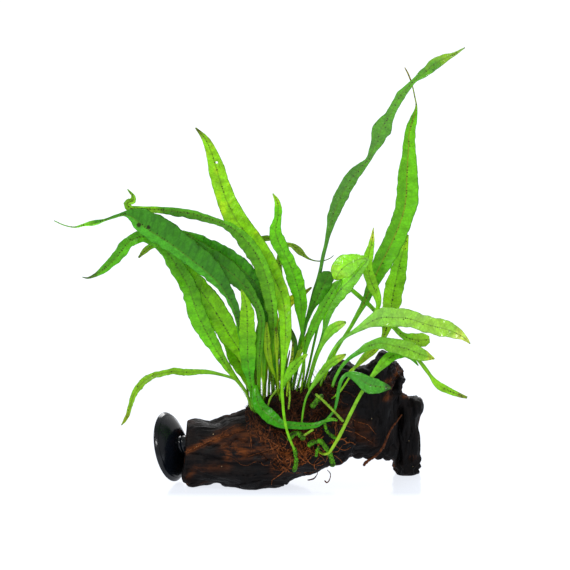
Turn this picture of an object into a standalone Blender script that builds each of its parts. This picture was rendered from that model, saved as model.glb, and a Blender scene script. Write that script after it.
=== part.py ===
"""A java fern tied by its own roots to a branching piece of driftwood, with a suction cup in the sawn end.

Sizes are in millimetres in the tables and become metres in the functions. +Z is up, +X runs along the wood
towards its foot, and -Y is the front. Rows of the tables that say (across, up, back) are measured on a front
view from VIEW_DEGREES above the horizontal, where "up" runs along the picture and "back" is the depth.
"""

import math

import bmesh
import bpy
import numpy as np
from mathutils import Matrix, Vector
from mathutils.bvhtree import BVHTree

MM = 0.001
VIEW_DEGREES = 12.0
NEAREST_BACK = -25.0  # the depth at which the wood's lowest front edge touches the floor, at "up" 0
ACROSS_SHIFT = 0.1  # these two centre the object on the origin
BACK_SHIFT = 1.4
GAP = 0.3  # between pieces that touch
REST_HEIGHT = 0.9  # wood that comes lower than this stands on the floor

RING_POINTS = 20
SQUARENESS = 2.6  # 2 is an ellipse, more is squarer
WOOD_LUMP = 0.9
HEEL_AT = -33.0  # the trunk's hidden foot at the back left
HEEL_REACH = 11.0
HEEL_DROP = 4.4

CUP_DIAMETER = 40.0
CUP_DEPTH = 6.6
CUP_HEIGHT = 8.0  # from the rim to the neck
NECK_DIAMETER = 9.7
NECK_LENGTH = 9.0  # before the wood cuts it
CUP_RIM_CENTRE = (-54.0, 25.65, 4.0)
CUP_PLAN_DEGREES = 23.0  # how far the mouth turns away from the viewer
CUP_DIP_DEGREES = 13.6  # how far the mouth looks down

BLADE_THICKNESS = 0.5
BLADE_FOLD = 0.10  # depth of the midrib's valley, as a share of the width
STATION_SPACING = 9.0
STALK_WIDTH = 2.5  # a leaf wider than this is blade
LEAF_CLEARANCE = 0.75  # between leaves that cross
SAMPLE_SPACING = 2.5
SETTLE_ROUNDS = 80
FOOT_CLEARANCE = 0.4  # from a leaf's foot to the mat

# The trunk's sections: x, highest and lowest "up" of the outline, front, back.
TRUNK_SECTIONS = (
    (-46.5, 10.5, 7.5, -17, -8),
    (-45.4, 15.5, 5.6, -19, 0),
    (-44.4, 21.0, 4.6, -20, 6),
    (-43.6, 41.0, 4.0, -19, 19),
    (-41.0, 41.4, 3.0, -20, 20),
    (-36.0, 41.4, 3.7, -21, 20),
    (-31.0, 41.3, 4.0, -22, 21),
    (-25.0, 42.4, 4.8, -23, 22),
    (-18.0, 45.6, 2.2, -24, 22),
    (-10.0, 47.5, 0.3, -25, 22),
    (-3.0, 49.0, 0.5, -26, 22),
    (5.0, 50.5, 2.3, -26.5, 23),
    (13.0, 52.0, 4.8, -26.5, 24),
    (21.0, 54.0, 7.8, -26, 25),
    (28.0, 57.0, 11.0, -25, 25),
    (34.0, 65.0, 12.7, -24, 26),
    (39.0, 71.0, 13.8, -22, 27),
    (44.0, 74.5, 15.2, -20, 27),
    (47.5, 74.3, 18.5, -18, 27),
)
# The crag's sections, in the same way.
CRAG_SECTIONS = (
    (47.8, 74.2, 19.5, -11, 27),
    (51.0, 72.8, 20.4, -8, 27),
    (54.0, 72.5, 21.0, -7, 27),
    (57.5, 73.5, 21.3, -6, 27),
    (60.0, 73.8, 21.0, -5, 27),
    (63.5, 75.5, 21.0, -4, 27),
    (65.5, 77.0, 20.6, -4, 27),
    (67.2, 80.6, 20.2, -3, 26),
    (69.5, 82.0, 20.0, -2, 26),
    (72.0, 79.0, 19.6, 0, 26),
    (74.5, 77.0, 17.4, 5, 26),
    (76.3, 75.0, 12.4, 9, 27),
    (76.6, 73.6, 56.4, 9, 25),
    (78.8, 66.0, 56.6, 10, 22),
    (80.2, 63.0, 57.4, 11, 19),
)
# The leg's sections: "up" of its right outline, left, right, front, back.
LEG_SECTIONS = (
    (10.4, 77.6, 86.6, 17.5, 33),
    (12.2, 77.3, 88.6, 16.5, 34),
    (15.5, 76.95, 89.3, 16, 34),
    (21.0, 76.95, 89.5, 15, 34),
    (28.0, 76.95, 89.2, 14, 33),
    (34.0, 76.95, 89.0, 13, 32),
    (40.0, 76.95, 88.6, 12, 31),
    (43.5, 76.95, 88.6, 12, 31),
    (46.5, 76.95, 90.2, 12, 30),
    (50.0, 76.95, 90.6, 12, 29),
    (52.4, 77.6, 89.6, 14, 27),
    (53.8, 79.6, 87.4, 16, 25),
)

# The root mat lies over these of the trunk's sections: x, first and last degree round the trunk (0 is the
# front, 90 the top), and thickness.
MAT_SECTIONS = (
    (-10.0, 54, 112, 2.4),
    (-3.0, 10, 132, 4.0),
    (5.0, -20, 140, 7.0),
    (13.0, -45, 142, 7.2),
    (21.0, -50, 142, 6.0),
    (28.0, -50, 142, 5.4),
    (34.0, -50, 110, 4.0),
    (39.0, -45, 80, 3.0),
    (44.0, -25, 50, 2.4),
)
MAT_POINTS = 16
MAT_ROOT = 3.0  # how deep its edges start under the wood's surface, before the wood cuts them

# Tubes: name, diameter and (across, up, back) points.
TUBES = (
    ("rhizome_front", 2.3, ((17.5, 25.6, -31), (18.3, 22, -31), (18.5, 16, -31), (17.5, 13, -30))),
    ("rhizome_hook", 2.6, (
        (26, 27.4, -30), (28, 28.8, -30), (30.5, 29.5, -30), (33, 29, -30), (35, 26.5, -30),
        (37, 23.5, -29), (38.5, 20, -28), (39.5, 16, -27))),
    ("rhizome_branch", 1.8, ((31.6, 26.2, -30), (30.5, 24, -30), (30, 21, -29.5))),
    ("rhizome_left", 3.0, ((14.8, 31, -31), (17, 33.6, -31), (20, 34, -31), (22.6, 31.6, -31))),
    ("rhizome_right", 2.0, ((35, 39, -28), (36, 35.5, -28), (38, 33, -28), (40.5, 31.5, -27), (42, 30, -27))),
    ("rhizome_top", 3.0, ((28, 49.5, -28), (30.4, 52.4, -27), (33, 55, -26))),
    ("root_woody", 1.7, (
        (79, 44, 7), (76, 40, 3), (73, 36, 0), (71, 32, -2), (69, 27, -3), (66, 22.5, -5), (63, 20, -6),
        (59, 17.5, -7), (57.5, 15.5, -7))),
    ("root_hanging_left", 0.8, ((30.8, 11.4, -15), (30.5, 10, -15), (28.5, 7.7, -15), (25.5, 7, -15))),
    ("root_hanging_right", 0.8, (
        (36.5, 12.6, -15), (38.2, 10.5, -15), (37.5, 6.8, -15), (36, 5.5, -15), (35, 6.5, -15))),
    ("stalk_broken", 1.5, ((30, 56, -29), (34, 52.5, -29), (38, 48.6, -30), (42, 44.3, -30), (45, 41, -30))),
    ("stalk_stub", 1.4, ((23.4, 33, -33), (25.6, 34.4, -33), (28, 36, -33))),
    ("stalk_bare_left", 1.1, ((2.7, 50, -22), (4, 54, -22), (6.3, 57, -21), (8.5, 60, -19))),
    ("stalk_bare_right", 1.1, ((14.3, 48, -25), (15, 55, -23), (14.6, 62, -21))),
)
RAY = Vector((0.29, 0.17, 0.94)).normalized()
UNDER_WOOD = ("root_hanging_left", "root_hanging_right")  # these aren't moved in front of the wood

# Leaves: name, tone, turn at the foot and at the tip in degrees, and points from foot to tip. A point is
# (across, up, back, width), with the width as the front view shows it.
LEAVES = (
    ("leaf_low_arch", "lime", 0, 30, (
        (-6.5, 47, -12, 1.4), (-8, 52, -13, 1.4), (-10, 57, -14, 1.4), (-13, 62, -15, 1.5),
        (-17, 65, -17, 1.6), (-25, 67.5, -19, 1.9), (-33, 69, -21, 2.8), (-43, 69, -23, 3.8),
        (-51, 69.5, -24, 4), (-59, 68, -25, 3.6), (-65, 66, -25, 4), (-70, 62, -25, 4),
        (-74, 56, -24, 3.6), (-76, 49.5, -23, 2.6), (-78, 43, -22, 2.4), (-81, 38.5, -21, 0.6))),
    ("leaf_left_whip", "dark", 0, 0, (
        (-6, 49, -11, 2), (-7, 58, -13.5, 2), (-8.3, 69, -16, 2.4), (-10, 79, -17, 2.8),
        (-12.4, 88, -18, 3.6), (-14.1, 97.4, -20, 4), (-16.2, 105, -23.5, 4.6), (-19.8, 112.4, -27, 5.8),
        (-23.7, 119, -30, 8), (-28.6, 124.9, -31, 10.5), (-34.3, 130.1, -32, 12),
        (-40.9, 135.4, -33, 12.2), (-48.6, 141.5, -34, 12.8), (-56.1, 146.8, -34, 13.8),
        (-62.8, 150.8, -34, 13.4), (-69.4, 155.2, -33, 11.5), (-74, 157.8, -32, 7),
        (-79, 158.3, -31, 2.5), (-84, 157, -31, 1.6), (-90, 155, -31, 1.4), (-96, 153.3, -31, 2.8),
        (-102, 152.2, -31, 1.5), (-107, 151, -31, 0.8), (-113, 152.2, -31, 0.6),
        (-118.5, 154.7, -31, 0.5))),
    ("leaf_left_droop", "fresh", 0, 0, (
        (-7, 49, -8, 1.8), (-10, 57, -9, 1.8), (-15, 64, -10, 2.4), (-20.5, 71, -11, 4),
        (-24.5, 77, -12, 5), (-30.5, 87, -13, 8), (-34.5, 94.5, -15, 9.4), (-38.5, 103, -16, 9.4),
        (-42.4, 116, -18, 8.8), (-48.5, 127, -19, 8.6), (-54, 135.5, -20, 7.5), (-60.5, 142.3, -21, 6.5),
        (-68.5, 145.4, -22, 6), (-76, 142.6, -22, 6), (-81, 136.6, -21, 6.5), (-86, 131.2, -20, 5.3),
        (-91, 126.8, -19, 4), (-96, 123.6, -18, 2), (-100, 122.2, -17, 1), (-103, 122.8, -17, 0.4))),
    ("leaf_left_inner", "fresh", 0, 0, (
        (-5, 50, -4, 1.8), (-7, 60, -5, 1.8), (-9, 68, -6, 2.4), (-11.5, 77, -8, 4), (-15, 84, -9, 7),
        (-19.1, 90.4, -10, 9.2), (-23.6, 98.3, -11, 10.2), (-29.5, 107.5, -12, 10.2),
        (-36.7, 117.3, -13, 9), (-45.2, 126.8, -14, 7.6), (-51.4, 134, -15, 6), (-57, 139.6, -16, 4.6),
        (-62, 141.4, -17, 3), (-67.5, 137.7, -17, 2.4), (-71, 133.8, -17, 0.8))),
    ("leaf_left_short", "lime", 0, 0, (
        (-4.5, 50, 0, 1.6), (-7, 58, -1, 1.8), (-10, 66, -2, 3.5), (-13, 73, -3, 6), (-16.5, 79, -4, 6),
        (-20, 84, -5, 3.2), (-23.3, 87.7, -6, 0.8))),
    ("leaf_left_broad", "fresh", 0, 0, (
        (-5.5, 49, -16, 2.8), (-6.3, 57, -17, 3.4), (-7.5, 65, -18, 5), (-8.7, 73, -19, 8),
        (-9, 82, -20, 9.5), (-9, 91, -20.5, 9.8), (-9.2, 100, -21, 8.5), (-9.8, 107, -21, 6),
        (-12.5, 115.5, -21, 1))),
    ("leaf_left_shaded", "mid", 0, 0, (
        (-2, 52, -6, 1.6), (-2.5, 62, -9, 2), (-2.6, 74, -12, 3), (-1.8, 86, -15, 3.8),
        (-1.2, 95.5, -17, 4.2), (-1.8, 102.1, -19, 4.4), (-4.4, 108.3, -21, 4.8), (-8.7, 115.2, -23, 6.4),
        (-13.9, 121, -25, 9), (-19.1, 125.6, -27, 11.4), (-24.8, 130.2, -28, 11), (-30.5, 135.2, -29, 8),
        (-36.5, 141, -30, 4), (-41, 145, -30, 0.8))),
    ("leaf_left_lit", "dark", 0, 0, (
        (0, 53, -2, 1.5), (0.2, 65, -4, 1.8), (0.8, 80, -6, 3), (2, 94, -8, 5.4), (2.3, 103.1, -10.5, 6.2),
        (0.4, 110.7, -13.5, 7.4), (-3.9, 118, -15, 8.4), (-9.6, 124.7, -17, 9.2), (-15.3, 130, -19, 9.6),
        (-22.9, 135.4, -21, 9.2), (-30.5, 139.8, -22, 8), (-39, 144.8, -23, 5), (-45.7, 148.9, -24, 1))),
    ("leaf_curled_tip", "mid", 0, 0, (
        (3, 54, 2, 1.4), (3.5, 68, 0, 1.5), (5, 82, -4, 2.4), (6, 95, -10, 4), (5.5, 107, -16.5, 5.5),
        (3.5, 118, -18, 6), (0, 129, -19, 6), (-5, 138.5, -19, 6), (-11, 145.5, -19, 5.5),
        (-17, 150.8, -20, 4.3), (-24, 154, -21, 3), (-32, 156.7, -22, 3.3), (-40, 159, -23, 3.7),
        (-50, 160.5, -24, 3.4), (-60, 161.4, -25, 2.6), (-70, 161.8, -25, 2.6), (-75, 162, -26, 2.4),
        (-76.6, 164.3, -26, 1.2), (-73.5, 165.8, -26, 1.4), (-73.3, 168.5, -26, 1.3),
        (-75, 170.7, -26, 1.1), (-76.8, 172.6, -26, 0.5))),
    ("leaf_tall_left", "lime", 0, 0, (
        (17, 26, -33, 1.3), (14.7, 31.5, -34.5, 1.4), (13, 37, -35.5, 1.5), (11.7, 44, -36, 1.6),
        (11, 52, -35, 1.7), (10.6, 61, -33, 1.8), (11, 71, -30, 2.2), (12, 80, -27, 4),
        (12.8, 89, -24, 6.5), (12.6, 100, -17, 7.2), (11, 111, -13, 8.5), (7.5, 120, -11, 10),
        (3, 129, -9.5, 11.5), (-3, 138, -8, 12.5), (-9, 146.5, -7, 13), (-15, 155.5, -5, 12.8),
        (-20, 165, -2, 11.5), (-23.5, 175, 1, 10.2), (-26.5, 185, 4, 9.3), (-29.5, 194, 6, 6.8),
        (-33, 201.5, 8, 4), (-38.7, 207.8, 9, 0.8))),
    ("leaf_young_1", "lime", 0, 0, (
        (9, 58, -6, 1.1), (7, 65, -8, 1.2), (4, 73, -10, 2.8), (2.5, 80, -12, 4), (2, 88, -13, 3.6),
        (1.8, 97, -14, 1))),
    ("leaf_young_2", "lime", 0, 0, (
        (8.5, 57, -9, 1.1), (8, 68, -11, 1.2), (7.6, 78, -13, 1.6), (7.5, 86, -14, 2.6), (7, 94, -15, 1.2))),
    ("leaf_young_3", "olive", 0, 0, (
        (6, 56, 4, 1.1), (6, 72, 2, 1.3), (6.5, 86, 0, 2.6), (6.8, 98, -1, 3.4), (6, 107, -1, 2.2),
        (5.5, 113, -1, 0.8))),
    ("leaf_middle_twist", "fresh", 0, 0, (
        (21.5, 58, -4, 1.4), (23, 68, -3, 1.4), (23.2, 78, -2, 1.5), (22.6, 86, -1, 1.6), (22, 92, 0, 2),
        (21.8, 97.5, 0, 3.6), (21.7, 104, 0, 5.9), (21.4, 109.7, 0, 7), (20.3, 115.4, 0, 8.2),
        (17.9, 123, -1, 8.8), (15, 130.6, -2, 7.4), (11.5, 137.3, -3, 7.2), (8.5, 143.9, -4, 7.4),
        (7, 149.6, -4, 6.4), (8.1, 155.3, -4, 4.4), (8.6, 161, -4, 4), (7.9, 165.8, -3, 2.9),
        (5.3, 170.4, -2, 0.6))),
    ("leaf_olive_thread", "olive", 0, 0, (
        (13, 56, 10, 1.2), (13, 75, 11, 1.4), (12, 95, 12, 2.4), (10, 115, 12, 3.4), (8.8, 130, 11, 3.6),
        (11, 140.5, 9, 3), (15.5, 141.2, 8, 2.6), (18.4, 139.4, 8, 3.8), (21.5, 136.8, 8, 3.6),
        (24, 134.6, 8, 1.8), (26.5, 133, 9, 1), (30, 132, 11, 0.8), (34, 132.1, 13, 0.7),
        (38, 133.6, 14, 0.6), (40, 135.2, 14, 0.4))),
    ("leaf_middle_hook", "fresh", 0, 0, (
        (5, 56, 14, 1.2), (4, 80, 15, 1.5), (3, 105, 15, 3), (-1, 125, 14, 5), (-4.5, 137, 12, 4.6),
        (-3, 143.4, 10, 3.4), (0.9, 144.9, 9, 3.4), (4.4, 144.9, 9, 2.4))),
    ("leaf_yellow_tip", "lime", 0, 0, (
        (7.5, 57, 16, 1.1), (8, 80, 17, 1.6), (10.5, 100, 17, 4), (15, 108.5, 16, 5.6), (21, 112, 14, 4),
        (27.4, 117, 12, 1))),
    ("leaf_young_4", "dark", 0, 0, (
        (15, 58, 2, 1.1), (16.5, 70, 1, 1.2), (17.8, 80, 0, 2.2), (17.6, 87, 0, 3.2), (15.4, 94, 0, 0.8))),
    ("leaf_young_5", "lime", 0, 0, (
        (13.5, 57, -14, 1), (14.5, 68, -14, 1.1), (16.2, 77, -13, 1.7), (16.7, 86, -12, 0.7))),
    ("leaf_front_lying", "dark", 0, 0, (
        (-0.5, 52, -12, 1.6), (-2.8, 57.6, -13.5, 1.8), (-4.2, 60.5, -19, 2.6), (-4.3, 57, -22, 4.2),
        (-2.8, 50.5, -25, 6.8), (1, 46, -27, 8), (5.5, 42.3, -30, 7.4), (10.5, 39.2, -32, 4.6),
        (17, 38.6, -33, 4.2), (24, 38.2, -33, 3.8), (30, 38.8, -33, 3), (35, 41, -33, 1.8),
        (39, 42.1, -33, 2.2), (42, 41.4, -33, 1.2))),
    ("leaf_front_short", "fresh", 0, 0, (
        (9.5, 55, -18, 1.3), (11.3, 61, -20, 1.8), (14, 67, -21, 4.4), (17.3, 71.8, -22, 6),
        (20.5, 75.2, -22, 4.4), (23, 77.4, -22, 3), (25, 79, -22, 1))),
    ("leaf_tallest", "mid", 0, 0, (
        (17, 60, 6, 1.7), (19.5, 72, 7, 1.7), (21.3, 84, 8, 1.8), (23.8, 94, 8, 1.9), (25.5, 101.2, 9, 2),
        (27.2, 107.8, 9, 2.2), (29.2, 115.4, 10, 2.3), (31.1, 121.1, 10, 2.3), (32.7, 127.8, 10, 2),
        (33.9, 134.4, 11, 2.1), (35.6, 141.1, 11, 2.1), (37, 147.7, 12, 2.8), (38.4, 153.4, 13, 4.4),
        (39.7, 158.2, 13, 5.6), (41.7, 162.9, 14, 6.6), (44.8, 169.5, 15, 7), (49.3, 177.5, 15, 6.8),
        (54.9, 184.6, 14, 5.4), (60.2, 190.3, 13, 2.8), (62.3, 195.3, 12, 4), (64.9, 200.6, 11, 6.8),
        (67.6, 207.4, 10, 9.6), (72, 215, 8, 5.4), (75.2, 221, 6, 4.6), (78, 226, 5, 5.2),
        (82.5, 231, 3, 3.2), (86, 234.6, 2, 2.4), (91.3, 238.6, 1, 5), (96.8, 243.2, 0, 5.8),
        (102.3, 246.5, -1, 4.6), (108.2, 249.2, -2, 2.2), (114.3, 252.9, -3, 0.5))),
    ("leaf_tall_right", "fresh", 0, 0, (
        (28, 56, -4, 1.3), (32, 64, -3.5, 1.3), (36.5, 73, -3, 1.4), (41, 80, -2.5, 1.6), (45, 87, -2, 1.9),
        (49.5, 94, -1, 2.2), (54, 102, 0, 2.8), (58, 109, 1, 4), (61.5, 117, 2, 6.5), (65, 125, 3, 9),
        (69, 133, 4, 11.2), (73.5, 142, 5, 11.8), (77.5, 151, 6, 11.8), (80.5, 160, 7, 12.2),
        (82, 169, 8, 12.6), (82.3, 178, 9, 12), (82.6, 187, 10, 10), (83, 196, 11, 7.4),
        (83.4, 205, 12, 6.4), (85.5, 213, 12, 4.2), (87, 220, 13, 1.2), (86, 226, 13, 0.8),
        (84.5, 232.5, 13, 0.8), (82.5, 238, 13, 0.9), (80.4, 242, 13, 0.6))),
    ("leaf_right_behind", "fresh", 0, 0, (
        (31, 50, -8, 1.2), (38, 58, -7, 1.3), (44, 64, -6, 1.3), (49, 68.8, -5, 1.4), (53, 72, -3, 1.8),
        (58, 76.5, 0, 3), (63, 80.8, 3, 3.5), (67, 85, 6, 2.2), (69.2, 90, 8, 3.4), (71, 97, 10, 7.5),
        (73, 106, 12, 9.8), (74.8, 116, 14, 10.8), (76.8, 126, 15, 9.6), (79, 135, 16, 7),
        (82.5, 147, 17, 1))),
    ("leaf_folded", "lime", 0, 0, (
        (24, 58, 0, 1.7), (26.7, 67, 0, 1.8), (29.2, 76, 0, 1.9), (32.5, 85, 0, 2), (34.8, 93, 0, 2.5),
        (36.3, 101, 0, 5), (38.8, 108, 0, 7.6), (42.3, 113.7, 0, 9.4), (46.6, 118.4, 0, 9.6),
        (51.3, 123.2, 0, 7.4), (56, 128.6, -1, 5), (59, 132.4, -4, 2.8), (56.3, 133.3, -8, 5),
        (51.5, 131.9, -11, 9), (46.5, 129, -13, 13), (42.8, 125.2, -13, 10.5), (41.2, 121.4, -11, 3))),
    ("leaf_right_small", "lime", 0, 0, (
        (30, 55, -8, 1.2), (35, 66, -8, 1.2), (39.5, 76, -7.5, 1.3), (43.7, 85, -7, 1.3), (49, 90.3, -7, 1.3),
        (55, 95, -7, 1.4), (61.5, 100, -7, 1.6), (65.3, 106, -7, 2.6), (64.8, 112, -6, 4.6),
        (62, 118.5, -5, 6), (59.8, 125, -4, 6.2), (59, 131, -3, 5.8), (60.3, 137, -2, 5),
        (61.7, 143, -1, 3.2), (62.6, 151, 0, 0.4))),
    ("leaf_big_arch", "fresh", 0, 0, (
        (31, 56, -12, 1.4), (34.5, 68, -11, 1.5), (37, 76, -10, 1.6), (41, 83, -9, 1.8),
        (45, 87.6, -9, 2), (49.5, 90.5, -10, 2.2), (54.4, 93.4, -11, 3.6), (60, 96.8, -13, 6),
        (66.4, 99.6, -15, 10.5), (74, 99.8, -17, 11.6), (81.6, 99.4, -19, 10.2), (89.2, 97.2, -20, 9.3),
        (95.9, 95.1, -21, 9.2), (102.5, 93.6, -22, 9.8), (108.2, 91.6, -22, 7.2), (113.7, 88.6, -22, 3.6),
        (117.6, 84.9, -22, 0.6))),
    ("leaf_lower_arch", "fresh", 0, 0, (
        (36.5, 51, -14, 1.5), (38.5, 58, -15, 1.6), (41, 65.5, -16, 1.8), (44.5, 71.8, -17, 1.9),
        (49, 76.6, -18, 2.2), (54, 80, -19, 3), (60, 83.6, -20, 5), (67, 85.2, -21, 6.8),
        (74, 83.8, -22, 8.8), (81, 82.2, -23, 9), (87, 79.8, -24, 8.2), (92, 78, -25, 6),
        (97.3, 76.3, -25, 0.8))),
    ("leaf_right_bent", "lime", 0, 0, (
        (22, 56, 8, 1.4), (26, 72, 9, 1.4), (29.5, 88, 10, 1.5), (33.5, 104, 11, 1.6),
        (37.5, 115.5, 12, 1.8), (42, 119.8, 12, 2), (47, 118, 12, 2.3), (53, 113.3, 11, 2.6),
        (59, 108, 10, 2.6), (65, 102.3, 8, 2.4), (71, 96.8, 5, 2.6), (76.4, 92.3, 2, 3), (80.4, 89, 0, 4),
        (84.5, 87.5, -1, 7), (88.7, 86.9, -2, 8.4), (92.1, 87, -2, 7.2), (94.8, 87.4, -2, 3.6))),
    ("leaf_right_hanging", "lime", 0, 0, (
        (36, 51, -18, 1.1), (40.5, 55, -19, 1.2), (44, 58.3, -20, 1.2), (47, 62.6, -20, 1.2),
        (50, 67.5, -19, 1.2), (54, 74.5, -16, 1.3), (59, 80.5, -14, 1.4), (66, 84, -14, 1.5),
        (74, 83.8, -15, 1.6), (81.5, 80.8, -16, 1.7), (88, 75.7, -17, 2), (92.2, 70.6, -18, 2.4),
        (95.4, 66.2, -19, 2.2), (98.2, 62.6, -20, 3.8), (102.3, 59.6, -21, 4.6), (107.5, 57.3, -22, 3.4),
        (112.5, 55.2, -22, 2.4), (116, 54.2, -22, 1.4))),
    ("leaf_front_stalk", "fresh", 0, 0, (
        (37.5, 23, -31, 1.4), (39.5, 26, -31.5, 1.7), (43, 32, -32, 1.9), (46.5, 39, -31, 2),
        (50.2, 46.5, -30, 2), (54, 54, -28, 2), (57.8, 60.2, -27, 2.1), (61.8, 66.4, -26, 2.5),
        (65.9, 71.3, -23, 4.4), (70.2, 75.8, -20, 6.4), (75, 78.6, -17, 5.6), (80, 79, -15, 4.4),
        (84, 77, -14, 2.8), (86.6, 74.4, -14, 1.6), (88.3, 72.3, -14, 0.6))),
    ("leaf_crag_dark", "dark", 0, 0, (
        (34, 40, -27, 1.3), (38, 44, -27, 1.4), (40.6, 47.8, -26.5, 1.5), (41.8, 53, -26, 1.8),
        (42.8, 59, -25, 2), (44.2, 64, -24, 2), (47, 67.3, -23, 2.4), (50.5, 67, -22.5, 4.6),
        (55, 64.8, -22, 7), (60, 61.8, -21.5, 9.4), (65, 60.6, -21, 8), (69.5, 60.3, -20.5, 4.6),
        (72.5, 59.6, -20, 1))),
    ("leaf_yellow_end", "fresh", 0, 0, (
        (22, 42, -28, 1.1), (22.8, 48, -26, 1.2), (24.3, 54, -24, 1.3), (26.7, 58.8, -22, 1.6),
        (29.8, 63.5, -20, 3), (33.5, 68.7, -18, 4.2), (37.5, 73, -17, 4.4), (41.8, 76, -17, 4.2),
        (45, 77.7, -17, 3), (47, 79, -17, 0.8))),
    ("leaf_lime_short", "lime", 0, 0, (
        (25.8, 61, -9, 1.3), (27.8, 69, -9, 1.4), (30, 76.5, -9, 1.5), (33, 83.5, -10, 1.8),
        (35.3, 88, -11, 3), (38, 92, -12, 4.4), (41.5, 94.8, -13, 4.6), (44.6, 96.2, -13, 3.4),
        (47, 97.2, -13, 1))),
    ("leaf_right_inner", "mid", 0, 0, (
        (19.5, 60, -3, 1.3), (22, 70, -4, 1.4), (23.8, 79, -5, 1.6), (25.6, 87, -6, 3),
        (27.8, 93, -6, 4.8), (30.3, 98, -6, 5.6), (33, 103.5, -6, 5.6), (36.5, 109.5, -6, 5),
        (41, 117, -5, 3), (44.5, 121.5, -4, 0.8))),
    ("leaf_right_shaded", "dark", 0, 0, (
        (16.5, 60, -1, 1.3), (18.7, 72, 0, 1.3), (20.3, 84, 1, 1.4), (22.8, 93, 2, 1.7),
        (25.6, 100.2, 3, 2.2), (27.9, 105.9, 4, 3.2), (31.5, 111.6, 4, 5.4), (34.3, 117.3, 5, 6.6),
        (36.2, 121.3, 5, 7.6), (37.8, 124, 5, 6), (38.8, 125.4, 5, 2.4))),
)

TONES = {
    "lime": (0.28, 0.60, 0.03),
    "fresh": (0.13, 0.46, 0.03),
    "mid": (0.08, 0.35, 0.03),
    "dark": (0.03, 0.20, 0.02),
    "olive": (0.14, 0.20, 0.02),
}


def spot(across, up, back):
    """The point, in metres, that the front view shows at (across, up) and that lies at this depth."""
    tilt = math.radians(VIEW_DEGREES)
    height = (up - (back - NEAREST_BACK) * math.sin(tilt)) / math.cos(tilt)
    return Vector((across + ACROSS_SHIFT, back + BACK_SHIFT, height)) * MM


def seen_up(y, z):
    """How far up the front view shows a point at this depth and height, in millimetres."""
    tilt = math.radians(VIEW_DEGREES)
    return z * math.cos(tilt) + (y - NEAREST_BACK) * math.sin(tilt)


def surface_material(name, color, roughness):
    material = bpy.data.materials.new(name)
    material.use_nodes = True
    shader = material.node_tree.nodes["Principled BSDF"]
    shader.inputs["Base Color"].default_value = (*color, 1.0)
    shader.inputs["Roughness"].default_value = roughness
    return material


def add_object(name, data, material, collection):
    obj = bpy.data.objects.new(name, data)
    data.materials.append(material)
    collection.objects.link(obj)
    return obj


def loft(name, rings):
    """A closed mesh through rings of equal point count, with a cap on each end."""
    bm = bmesh.new()
    loops = [[bm.verts.new(point) for point in ring] for ring in rings]
    count = len(loops[0])
    for near, far in zip(loops, loops[1:]):
        for i in range(count):
            j = (i + 1) % count
            bm.faces.new((near[i], near[j], far[j], far[i]))
    bm.faces.new(reversed(loops[0]))
    bm.faces.new(loops[-1])
    bmesh.ops.triangulate(bm, faces=bm.faces[:])
    bmesh.ops.recalc_face_normals(bm, faces=bm.faces[:])
    mesh = bpy.data.meshes.new(name)
    bm.to_mesh(mesh)
    bm.free()
    return mesh


def rounded_point(low, high, angle):
    """A point on the rounded rectangle between two corners; 0 degrees is the low side, 90 the top."""
    power = 2.0 / SQUARENESS
    cosine, sine = -math.cos(angle), math.sin(angle)
    first = math.copysign(abs(cosine) ** power, cosine)
    second = math.copysign(abs(sine) ** power, sine)
    return (
        (low[0] + high[0]) / 2 + (high[0] - low[0]) / 2 * first,
        (low[1] + high[1]) / 2 + (high[1] - low[1]) / 2 * second,
    )


def ring_angles():
    return [2 * math.pi * i / RING_POINTS for i in range(RING_POINTS)]


def wood_section(section):
    """(x, front, back, bottom, top), with the heights that put the section's outline where the view has it."""
    x, up_top, up_bottom, front, back = section
    bottom, top = up_bottom, up_top
    for _ in range(6):
        ups = [seen_up(*rounded_point((front, bottom), (back, top), angle)) for angle in ring_angles()]
        top += up_top - max(ups)
        bottom += up_bottom - min(ups)
    return x, front, back, bottom, top


def wood_lump(along, angle):
    """How far the weathered wood stands proud or falls back, in millimetres."""
    furrows = math.sin(5 * angle + 0.13 * along) + 0.7 * math.sin(9 * angle - 0.21 * along + 1.7)
    return WOOD_LUMP * (0.5 * furrows + 0.5 * math.sin(0.37 * along + 2 * angle))


def wood_point(section, angle, proud=0.0):
    """A point of a section across the wood, pushed in a little where the wood is furrowed."""
    x, front, back, bottom, top = section
    grown = proud + min(0.0, wood_lump(x, angle) - WOOD_LUMP)
    y, z = rounded_point((front - grown, bottom - grown), (back + grown, top + grown), angle)
    if math.sin(angle) < 0:
        heel = max(0.0, 1 - ((x - HEEL_AT) / HEEL_REACH) ** 2) * max(0.0, min(1.0, y / 12.0))
        z -= HEEL_DROP * heel
    if z < REST_HEIGHT + proud:
        z = 0.0
    return Vector((x + ACROSS_SHIFT, y + BACK_SHIFT, z)) * MM


def wood_ring(section, proud=0.0):
    return [wood_point(section, angle, proud) for angle in ring_angles()]


def leg_ring(section):
    up, left, right, front, back = section
    tilt = math.radians(VIEW_DEGREES)
    height = (up - ((front + back) / 2 - NEAREST_BACK) * math.sin(tilt)) / math.cos(tilt)
    height = 0.0 if height < REST_HEIGHT else height
    ring = []
    for angle in ring_angles():
        x, y = rounded_point((left, front), (right, back), angle)
        ring.append(Vector((x + ACROSS_SHIFT, y + BACK_SHIFT, height)) * MM)
    return ring


def build_driftwood(collection):
    material = surface_material("waterlogged_wood", (0.012, 0.008, 0.008), 0.45)
    trunk = [wood_section(section) for section in TRUNK_SECTIONS]
    meshes = {
        "driftwood_trunk": loft("driftwood_trunk", [wood_ring(section) for section in trunk]),
        "driftwood_crag": loft("driftwood_crag", [wood_ring(wood_section(s)) for s in CRAG_SECTIONS]),
        "driftwood_leg": loft("driftwood_leg", [leg_ring(section) for section in LEG_SECTIONS]),
    }
    for name, mesh in meshes.items():
        add_object(name, mesh, material, collection)
    return trunk, list(meshes.values())


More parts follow.
